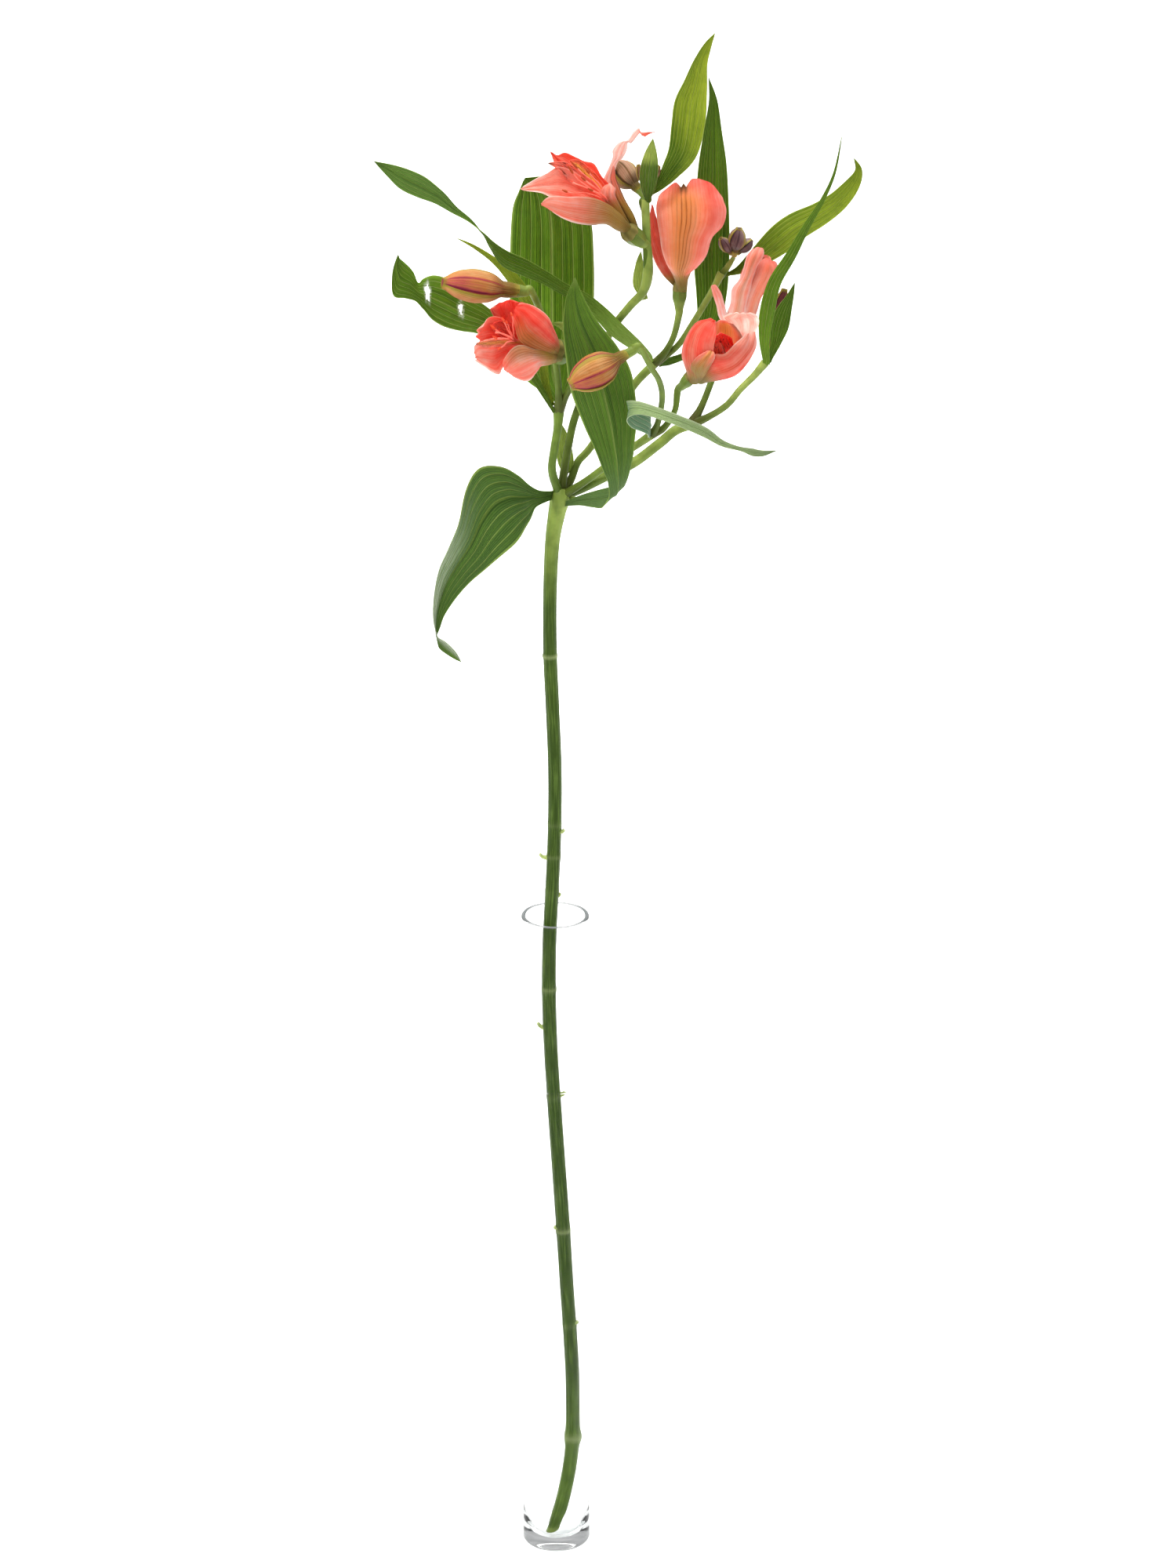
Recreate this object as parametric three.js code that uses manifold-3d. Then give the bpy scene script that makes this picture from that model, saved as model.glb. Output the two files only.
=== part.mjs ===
// A cut alstroemeria stem standing in a glass tube vase with water.
// Millimetres, +Z up. The origin is the centre of the vase's flat base; +X is right, -Y is front.

import * as THREE from 'three';
import { mergeVertices } from 'three/addons/utils/BufferGeometryUtils.js';
import Module from 'manifold-3d';

const wasm = await Module();
wasm.setup();

// ---- Driving dimensions ----

const VASE_RADIUS = 15;
const VASE_HEIGHT = 310;
const VASE_WALL = 1.8;
const VASE_FOOT = 9;
const VASE_SIDES = 36;
const WATER_LEVEL = 228;
const STEM_SIDES = 10;
const RAY_SIDES = 6;
const GAP = 0.3;
const HOLE_CLEARANCE = 0.4;
const LEAF_THICKNESS = 0.7;
const TEPAL_THICKNESS = 0.7;
const RECEPTACLE_RADIUS = 2.8;
const OVARY_RADIUS = 3.1;
const OVARY_LENGTH = 8;
const PEDICEL_RADIUS = 1.4;

// ---- Curves and closed solids ----

const vec = ([x, y, z]) => new THREE.Vector3(x, y, z);

// A smooth curve through rows of numbers, for places, widths or directions alike.
const through = (rows) => new THREE.CatmullRomCurve3(rows.map(vec), false, 'catmullrom', 0.5);

function volumeOf(corners, faces) {
  let sum = 0;
  for (const [a, b, c] of faces) {
    sum += corners[a].dot(corners[b].clone().cross(corners[c]));
  }
  return sum / 6;
}

// Closes a row of rings into one solid. Each ring has the same even number of points, and its
// first half lies across from its second half, so both faces of a blade split alike.
function skin(rings) {
  const count = rings[0].length;
  const half = count / 2;
  const corners = rings.flat();
  const faces = [];
  for (let i = 0; i < rings.length - 1; i += 1) {
    for (let j = 0; j < count; j += 1) {
      const next = (j + 1) % count;
      const [a, b] = [i * count + j, i * count + next];
      const [c, d] = [a + count, b + count];
      if (j < half) faces.push([a, b, d], [a, d, c]);
      else faces.push([a, b, c], [b, d, c]);
    }
  }
  const last = (rings.length - 1) * count;
  for (let j = 0; j < half - 1; j += 1) {
    const [a, b, c, d] = [j, j + 1, count - 2 - j, count - 1 - j];
    faces.push([a, c, b], [a, d, c]);
    faces.push([last + a, last + b, last + c], [last + a, last + c, last + d]);
  }
  if (volumeOf(corners, faces) < 0) faces.forEach((face) => face.reverse());
  const geometry = new THREE.BufferGeometry();
  geometry.setAttribute('position', new THREE.Float32BufferAttribute(
    corners.flatMap((p) => [p.x, p.y, p.z]), 3));
  geometry.setIndex(faces.flat());
  return geometry;
}

// A round rod through stations [x, y, z, radius]. A fluted one has that share of its radius in
// and out by turns round it, and grow adds to every radius.
function rod(stations, { sides = RAY_SIDES, fluted = 0, grow = 0 } = {}) {
  const path = through(stations);
  const steps = stations.length - 1;
  let across = new THREE.Vector3(0.31, 0.95, 0.05);
  const rings = [];
  for (let i = 0; i <= steps; i += 1) {
    const t = i / steps;
    const centre = path.getPoint(t);
    const ahead = path.getTangent(t);
    across = across.clone().addScaledVector(ahead, -across.dot(ahead)).normalize();
    const beside = ahead.clone().cross(across);
    const radius = stations[i][3] + grow;
    const ring = [];
    for (let j = 0; j < sides; j += 1) {
      const turn = (2 * Math.PI * j) / sides;
      const reach = radius * (1 + (j % 2 ? -fluted : fluted));
      ring.push(centre.clone()
        .addScaledVector(across, reach * Math.cos(turn))
        .addScaledVector(beside, reach * Math.sin(turn)));
    }
    rings.push(ring);
  }
  return skin(rings);
}

// A thin blade through stations [x, y, z, width, sx, sy, sz], where s points along the width.
// Its section bends through arc degrees, towards tangent x s.
function blade(stations, { across = 2, thickness = LEAF_THICKNESS, arc = 24 } = {}) {
  const path = through(stations);
  const steps = stations.length - 1;
  const rings = [];
  for (let i = 0; i <= steps; i += 1) {
    const t = i / steps;
    const centre = path.getPoint(t);
    const ahead = path.getTangent(t);
    const width = stations[i][3];
    const side = vec(stations[i].slice(4, 7));
    side.addScaledVector(ahead, -side.dot(ahead)).normalize();
    const face = ahead.clone().cross(side);
    const bend = Math.max(Math.min(THREE.MathUtils.degToRad(Math.abs(arc)), width / 1.2), 0.02);
    const radius = (width / bend) * Math.sign(arc);
    const [upper, lower] = [[], []];
    for (let j = 0; j <= across; j += 1) {
      const angle = (j / across - 0.5) * bend * Math.sign(arc);
      const middle = centre.clone()
        .addScaledVector(side, radius * Math.sin(angle))
        .addScaledVector(face, radius * (1 - Math.cos(angle)));
      const out = face.clone().multiplyScalar(Math.cos(angle)).addScaledVector(side, -Math.sin(angle));
      upper.push(middle.clone().addScaledVector(out, thickness / 2));
      lower.unshift(middle.clone().addScaledVector(out, -thickness / 2));
    }
    rings.push([...upper, ...lower]);
  }
  return skin(rings);
}

function solid(geometry) {
  const bare = geometry.clone();
  bare.deleteAttribute('normal');
  bare.deleteAttribute('uv');
  const merged = mergeVertices(bare, 1e-4);
  return new wasm.Manifold(new wasm.Mesh({
    numProp: 3,
    vertProperties: new Float32Array(merged.attributes.position.array),
    triVerts: new Uint32Array(merged.index.array),
  }));
}

function geometryOf(manifold) {
  const mesh = manifold.getMesh();
  const geometry = new THREE.BufferGeometry();
  geometry.setAttribute('position', new THREE.Float32BufferAttribute(mesh.vertProperties, 3));
  geometry.setIndex(Array.from(mesh.triVerts));
  return geometry;
}

const joined = (geometries) => geometryOf(geometries.map(solid).reduce((sum, next) => sum.add(next)));

// ---- Scene graph ----

const object = new THREE.Group();

function add(name, geometry, colour, roughness = 0.6, clear = 1) {
  const material = new THREE.MeshStandardMaterial({ color: colour, roughness, metalness: 0 });
  material.transparent = clear < 1;
  material.opacity = clear;
  const mesh = new THREE.Mesh(geometry, material);
  mesh.name = name;
  object.add(mesh);
}

// ---- Main stem ----
// It stands on the vase's foot, bows to the right, and leans on the front of the rim.

const MAIN_STEM = [
  [-1, -8, 10.5, 2.9],
  [2.5, -6.5, 22, 2.9],
  [5, -5, 34, 3],
  [6.6, -3.9, 46, 3],
  [7.1, -3.6, 56, 3.5],
  [7.2, -3.5, 67, 3],
  [7, -3.6, 86, 3],
  [6, -4, 108, 3],
  [4.6, -4.6, 132, 3],
  [3.2, -5.5, 159, 3.1],
  [1.4, -6.8, 190, 3],
  [-0.5, -8, 222, 3],
  [-2, -8.8, 250, 3],
  [-2.7, -9.1, 277, 3.1],
  [-2.4, -9.2, 303, 3],
  [-1.2, -8.6, 328, 3],
  [-0.2, -6.5, 353, 3],
  [0, -4.3, 380, 3],
  [-1, -2.6, 409, 3],
  [-2, -1.4, 434, 3.2],
  [-2, -0.6, 461, 3],
  [-1, -0.2, 484, 3.2],
  [1, 0, 498, 3.9],
  [2.8, 0, 506, 4.5],
  [3.6, 0, 510, 3.4],
];

// Stubs of leaves that were stripped off: height, direction round the stem, length, rise.
const STUBS = [
  [322, 20, 0.8, 0.6],
  [340, 180, 2.8, 0.5],
  [352, 0, 1.2, 0.4],
  [259, 172, 2.2, 0.7],
  [226, 5, 1.6, 0.5],
  [160, 190, 0.6, 0.4],
  [112, -10, 0.6, 0.3],
];

function stemAt(height) {
  const above = MAIN_STEM.findIndex((row) => row[2] >= height);
  const [low, high] = [MAIN_STEM[above - 1], MAIN_STEM[above]];
  return vec(low).lerp(vec(high), (height - low[2]) / (high[2] - low[2]));
}

function mainStem(grow) {
  const stubs = STUBS.map(([height, degrees, length, rise]) => {
    const turn = THREE.MathUtils.degToRad(degrees);
    const out = new THREE.Vector3(Math.cos(turn), Math.sin(turn), rise);
    const root = stemAt(height);
    const at = (reach, radius) => [...root.clone().addScaledVector(out, reach).toArray(), radius];
    return rod([at(0, 1.7), at(3, 1.5), at(3 + length + grow, 0.9)], { grow });
  });
  return joined([rod(MAIN_STEM, { sides: STEM_SIDES, grow }), ...stubs]);
}

// ---- Vase and water ----

const innerRadius = VASE_RADIUS - VASE_WALL;
const vaseProfile = [
  [0, 0],
  [VASE_RADIUS - 1.6, 0],
  [VASE_RADIUS - 0.4, 0.6],
  [VASE_RADIUS, 2],
  [VASE_RADIUS, VASE_HEIGHT - 0.8],
  [VASE_RADIUS - 0.6, VASE_HEIGHT],
  [innerRadius + 0.5, VASE_HEIGHT],
  [innerRadius, VASE_HEIGHT - 0.7],
  [innerRadius, VASE_FOOT + 1.4],
  [innerRadius - 1.4, VASE_FOOT],
  [0, VASE_FOOT],
];

// A solid of revolution about Z from [radius, height] pairs that start and end on the axis.
function turned(profile) {
  const lathe = new THREE.LatheGeometry(profile.map(([r, z]) => new THREE.Vector2(r, z)), VASE_SIDES);
  return lathe.rotateX(Math.PI / 2);
}

const waterRadius = innerRadius - GAP;
const waterProfile = [
  [0, VASE_FOOT + GAP],
  [waterRadius - 1.6, VASE_FOOT + GAP],
  [waterRadius, VASE_FOOT + GAP + 1.6],
  [waterRadius, WATER_LEVEL],
  [0, WATER_LEVEL],
];

// The stem's hole goes right through the water, because the cut end stands on the glass.
function waterWithHole() {
  const [foot] = MAIN_STEM;
  const below = rod([[foot[0] - 0.9, foot[1] - 0.5, foot[2] - 4, foot[3]], foot, MAIN_STEM[1]],
    { sides: STEM_SIDES, grow: HOLE_CLEARANCE });
  return geometryOf(solid(turned(waterProfile))
    .subtract(solid(mainStem(HOLE_CLEARANCE)))
    .subtract(solid(below)));
}

add('vase', turned(vaseProfile), 0xe8eeee, 0.05, 0.35);
add('water', waterWithHole(), 0xdfeaec, 0.05, 0.4);

// ---- Blooms ----
// A tepal leaves the ovary along the flower's axis and then bends out to its own tip. Its row is
// [tip x, y, z from the base, width, reach, bulge]: reach is how far it follows the axis, and
// bulge is how far it stands off it there.

// Widths along a tepal, as shares of its width: the three outer ones are broad fans, and the
// three inner ones are spoons on long claws.
const FAN = [[0, 0.14], [0.25, 0.36], [0.5, 0.78], [0.75, 1], [0.93, 0.86], [1, 0.5]];
const SPOON = [[0, 0.16], [0.35, 0.45], [0.7, 1], [1, 0.25]];

function tepal(bloom, [x, y, z, width, reach, bulge], outer) {
  const axis = vec(bloom.axis).normalize();
  const tip = new THREE.Vector3(x, y, z);
  const out = tip.clone().addScaledVector(axis, -tip.dot(axis)).normalize();
  const side = axis.clone().cross(out);
  const start = axis.clone().multiplyScalar(1.2).addScaledVector(out, 1.3);
  const control = axis.clone().multiplyScalar(reach).addScaledVector(out, bulge);
  const line = new THREE.QuadraticBezierCurve3(start, control, tip);
  const stations = (outer ? FAN : SPOON).map(([t, share]) => {
    const at = line.getPoint(t).add(vec(bloom.base));
    return [...at.toArray(), Math.max(width * share, 1.6), ...side.toArray()];
  });
  return blade(stations, { across: outer ? 3 : 2, thickness: TEPAL_THICKNESS, arc: bloom.arc });
}

// Six stamens with oval anthers, leaning a little away from each other round the axis.
function stamens(bloom) {
  const axis = vec(bloom.axis).normalize();
  const first = new THREE.Vector3(0.3, 0.2, 0.9).cross(axis).normalize();
  const rods = [];
  for (let i = 0; i < 6; i += 1) {
    const out = first.clone().applyAxisAngle(axis, (i * Math.PI) / 3 + 0.4);
    const length = bloom.stamens * (1 - 0.06 * (i % 3));
    const at = (rise, off, radius) => [...vec(bloom.base)
      .addScaledVector(axis, rise).addScaledVector(out, off).toArray(), radius];
    rods.push(rod([
      at(1.5, 0.9, 0.5),
      at(length * 0.8, 2.8, 0.5),
      at(length * 0.9, 3.5, 1.1),
      at(length, 4.2, 0.7),
    ], { sides: 4 }));
  }
  return rods;
}

const along = (bloom, distance, radius) => [
  ...vec(bloom.base).addScaledVector(vec(bloom.axis).normalize(), distance).toArray(), radius];

function bloomSolid(bloom) {
  const receptacle = rod([
    along(bloom, 0, RECEPTACLE_RADIUS),
    along(bloom, 2.5, RECEPTACLE_RADIUS),
    along(bloom, 5, 1.4),
  ]);
  const petals = bloom.tepals.map((row, i) => tepal(bloom, row, i < 3));
  return joined([receptacle, ...petals, ...stamens(bloom)]);
}

const BLOOMS = {
  bloom_top_left: {
    base: [33, -2, 625],
    axis: [-0.62, -0.3, 0.62],
    stamens: 34,
    arc: 60,
    colour: 0xf07a62,
    tepals: [
      [-47, -18, 25, 22, 24, 8],
      [-38, -20, 18, 26, 20, 10],
      [3, 14, 42, 11, 30, 1],
      [-36, -8, 34, 17, 26, 5],
      [-33, 2, 37, 17, 28, 6],
      [-9, -12, 32, 13, 22, 6],
    ],
  },
  bloom_top_back: {
    base: [54, 24, 591],
    axis: [0.04, 0.16, 1],
    stamens: 26,
    arc: 75,
    colour: 0xf28a72,
    tepals: [
      [7.5, -12, 49, 31, 24, 13],
      [-13, 8, 36, 22, 20, 11],
      [9, 16, 41, 24, 22, 11],
      [-8, -2, 36, 12, 24, 5],
      [9, 0, 36, 12, 24, 5],
      [2, 12, 38, 12, 24, 6],
    ],
  },
  bloom_red_left: {
    base: [1.5, -29, 581.5],
    axis: [-0.7, -0.55, 0.3],
    stamens: 26,
    arc: 70,
    colour: 0xf0524a,
    tepals: [
      [-17, -25, 12, 30, 16, 15],
      [-22, -6, 24, 25, 18, 13],
      [-34, -14, 3, 24, 22, 12],
      [-28, -16, 22, 12, 22, 7],
      [-32, -8, 10, 12, 22, 7],
      [-26, -22, 0, 13, 20, 8],
    ],
  },
  bloom_cup_right: {
    base: [58, -26, 569],
    axis: [0.5, -0.45, 0.72],
    stamens: 18,
    arc: 80,
    colour: 0xea5a48,
    tepals: [
      [10, -20, 17, 30, 14, 15],
      [11, 2, 28, 26, 18, 14],
      [28, 5, 24, 19, 22, 9],
      [25, -8, 18, 22, 18, 13],
      [12, -6, 24, 12, 16, 6],
      [17, -14, 20, 12, 16, 6],
    ],
  },
  bloom_right_back: {
    base: [75, 17, 573],
    axis: [0.36, 0.16, 0.9],
    stamens: 24,
    arc: 80,
    colour: 0xf5967c,
    tepals: [
      [15, 0, 38, 16, 24, 5],
      [18, 9, 35, 15, 24, 6],
      [-7, -1, 23, 9, 14, 5],
      [20, 4, 30, 11, 22, 6],
      [12, 9, 34, 11, 24, 5],
      [15, 5, 36, 10, 24, 4],
    ],
  },
};

for (const [name, bloom] of Object.entries(BLOOMS)) {
  add(name, bloomSolid(bloom), bloom.colour, 0.5);
}

// ---- Buds ----
// A closed bud is a pointed oval with six shallow flutes, where its tepals meet.

const BUD_SHAPE = [[0, 0.3], [0.12, 0.5], [0.35, 0.92], [0.58, 1], [0.8, 0.8], [0.94, 0.42], [1, 0.12]];

function bud({ base, tip, radius }, sides = 12) {
  const stations = BUD_SHAPE.map(([t, share]) => [
    ...vec(base).lerp(vec(tip), t).toArray(), radius * share]);
  return rod(stations, { sides, fluted: 0.04 });
}

const BUDS = {
  bud_left: { base: [-15, -23, 606.5], tip: [-47, -30, 612.5], radius: 7.3, colour: 0xc98350 },
  bud_front: { base: [31, -50, 587.5], tip: [7, -57, 576], radius: 7.4, colour: 0xd9825a },
  bud_back_top: { base: [34, 9, 641], tip: [24, 24, 650], radius: 6.4, colour: 0x9c7a4a },
  bud_dark_right: { base: [93, 13, 569], tip: [99, 18, 594], radius: 3.8, colour: 0x6e2f33 },
};

for (const [name, shape] of Object.entries(BUDS)) {
  add(name, bud(shape), shape.colour, 0.5);
}

const CLUSTERS = {
  buds_top: {
    colour: 0x6b5a3c,
    heart: [39, 8.5, 645],
    buds: [
      { base: [38.5, 8.5, 645], tip: [36, 8, 654], radius: 2.5 },
      { base: [40, 8.8, 645], tip: [43.5, 12, 652], radius: 2.5 },
    ],
  },
  buds_right: {
    colour: 0x6b4a4e,
    heart: [77.5, 31, 606.5],
    buds: [
      { base: [77.5, 31, 605.5], tip: [79.5, 30, 617.5], radius: 4 },
      { base: [76.5, 31, 605.5], tip: [71.5, 30, 613], radius: 2.8 },
      { base: [78.5, 31, 605.5], tip: [85, 33, 611.5], radius: 2.8 },
      { base: [77.5, 32, 605.5], tip: [78, 38, 613], radius: 2.8 },
    ],
  },
};

for (const [name, cluster] of Object.entries(CLUSTERS)) {
  const [x, y, z] = cluster.heart;
  const heart = rod([[x, y, z - 2.3, 1], [x, y, z, 1.8], [x, y, z + 1.6, 1]]);
  add(name, joined([heart, ...cluster.buds.map((shape) => bud(shape, 8))]), cluster.colour, 0.6);
}

// ---- The grown green stem: main stem, rays, pedicels and ovaries ----

// A pedicel ends in the ovary, a swelling that meets the flower's base face to face.
const toBloom = (name) => {
  const bloom = BLOOMS[name];
  return [
    along(bloom, -OVARY_LENGTH - 1, PEDICEL_RADIUS + 0.2),
    along(bloom, -OVARY_LENGTH * 0.6, OVARY_RADIUS),
    along(bloom, -OVARY_LENGTH * 0.25, OVARY_RADIUS),
    along(bloom, -GAP, RECEPTACLE_RADIUS),
  ];
};

const toBud = (name) => {
  const { base, tip, radius } = BUDS[name];
  const axis = vec(tip).sub(vec(base)).normalize();
  const at = (distance, size) => [...vec(base).addScaledVector(axis, -distance).toArray(), size];
  return [at(5.5, PEDICEL_RADIUS), at(2.6, radius * 0.34), at(GAP, radius * 0.3)];
};

const NODE_LEFT = [2, -8, 548, 2.5];
const FORK_BACK = [43, 21, 559, 2];
const FORK_RIGHT = [59, 3, 538, 2.4];
const FORK_FRONT = [42, -22, 542, 2];

const STALKS = [
  // The left ray, with the pedicels of the red flower and of the left bud.
  [[3, 0, 506, 2], [1, -2, 511, 1.9], [-1, -5, 520, 1.8], [0, -7, 530, 1.8], [1.5, -8, 540, 1.9], NODE_LEFT],
  [NODE_LEFT, [5, -10, 555, 1.5], [8.5, -14, 563, 1.4], [10, -19, 571, 1.4], ...toBloom('bloom_red_left')],
  [NODE_LEFT, [2, -11, 557, 1.5], [1, -13, 569, 1.4], [-2, -15, 584, 1.4], ...toBud('bud_left')],
  // The middle ray, to the top flower and the buds and leaf above it.
  [[3, 0, 506, 2], [4, 1, 516, 1.8], [6, 2, 528, 1.7], [9, 4, 541, 1.7], [16, 6, 559, 1.7],
    [24, 7, 578, 1.7], [32, 5, 590, 1.8], [38, 2, 598, 2], [40, 0, 607, 2.1], ...toBloom('bloom_top_left')],
  [[40, 0, 609, 1.9], [39.5, 2.5, 622, 1.8], [39, 4.5, 633, 1.8], [39, 5.5, 638, 1.7]],
  [[39, 5, 632, 1.5], [37.5, 6.5, 637, 1.4], ...toBud('bud_back_top')],
  [[39, 5, 635, 1.4], [39, 7.6, 639, 1.2], [39, 8.5, 642.2, 0.9]],
  // The back ray, to the flower seen from behind and the right bud cluster.
  [[3, 0, 506, 2], [7, 4, 512, 1.8], [10, 7, 519, 1.7], [15, 10, 524, 1.7], [25, 15, 537, 1.7],
    [35, 19, 551, 1.8], FORK_BACK],
  [FORK_BACK, [48, 22, 564.5, 1.5], [51.5, 23.5, 571, 1.4], ...toBloom('bloom_top_back')],
  [FORK_BACK, [48, 23, 562, 1.5], [54, 25, 567, 1.4], [60, 27, 576, 1.4], [65, 29, 584, 1.4],
    [69, 30, 591, 1.5], [72, 31, 597, 1.9]],
  [[72, 31, 596, 1.6], [75, 31, 600.3, 1.3], [77.2, 31, 603.4, 1]],
  // The right ray, to the flower behind and the two right leaves.
  [[3, 0, 506, 2.4], [13, -2, 511, 2.2], [23, -4, 517, 2.2], [34, -5, 523, 2.2], [45, -3, 531, 2.2],
    [52, 0, 536, 2.2], FORK_RIGHT],
  [FORK_RIGHT, [64, 7, 546, 1.5], ...toBloom('bloom_right_back')],
  [FORK_RIGHT, [66, 3, 541, 1.6], [74, 4, 546, 1.5], [80, 5, 553, 1.5], [86, 6, 559, 1.6], [90.5, 6.5, 564.5, 2]],
  [[89.5, 6.5, 563, 1.4], [91.5, 9.5, 565, 1.1], ...toBud('bud_dark_right')],
  // The front ray, to the cup flower and the front bud.
  [[3, 0, 506, 2], [13, -7, 515, 1.6], [23, -13, 525, 1.5], [33, -18, 534, 1.6], FORK_FRONT],
  [FORK_FRONT, [47, -22, 545, 1.5], [51.5, -23, 553, 1.3], ...toBloom('bloom_cup_right')],
  [FORK_FRONT, [44, -24, 547, 1.4], [45.5, -27, 555, 1.3], [46, -31, 563, 1.3], [44.5, -36, 571, 1.3],
    [41, -42, 579, 1.3], ...toBud('bud_front')],
];

add('stem', joined([mainStem(0), ...STALKS.map((stations) => rod(stations))]), 0x6f9a3c, 0.5);

// ---- Leaves and bracts ----
// Rows are [x, y, z, width, and the way the width points]. Long leaves twist on their stalks.

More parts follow.
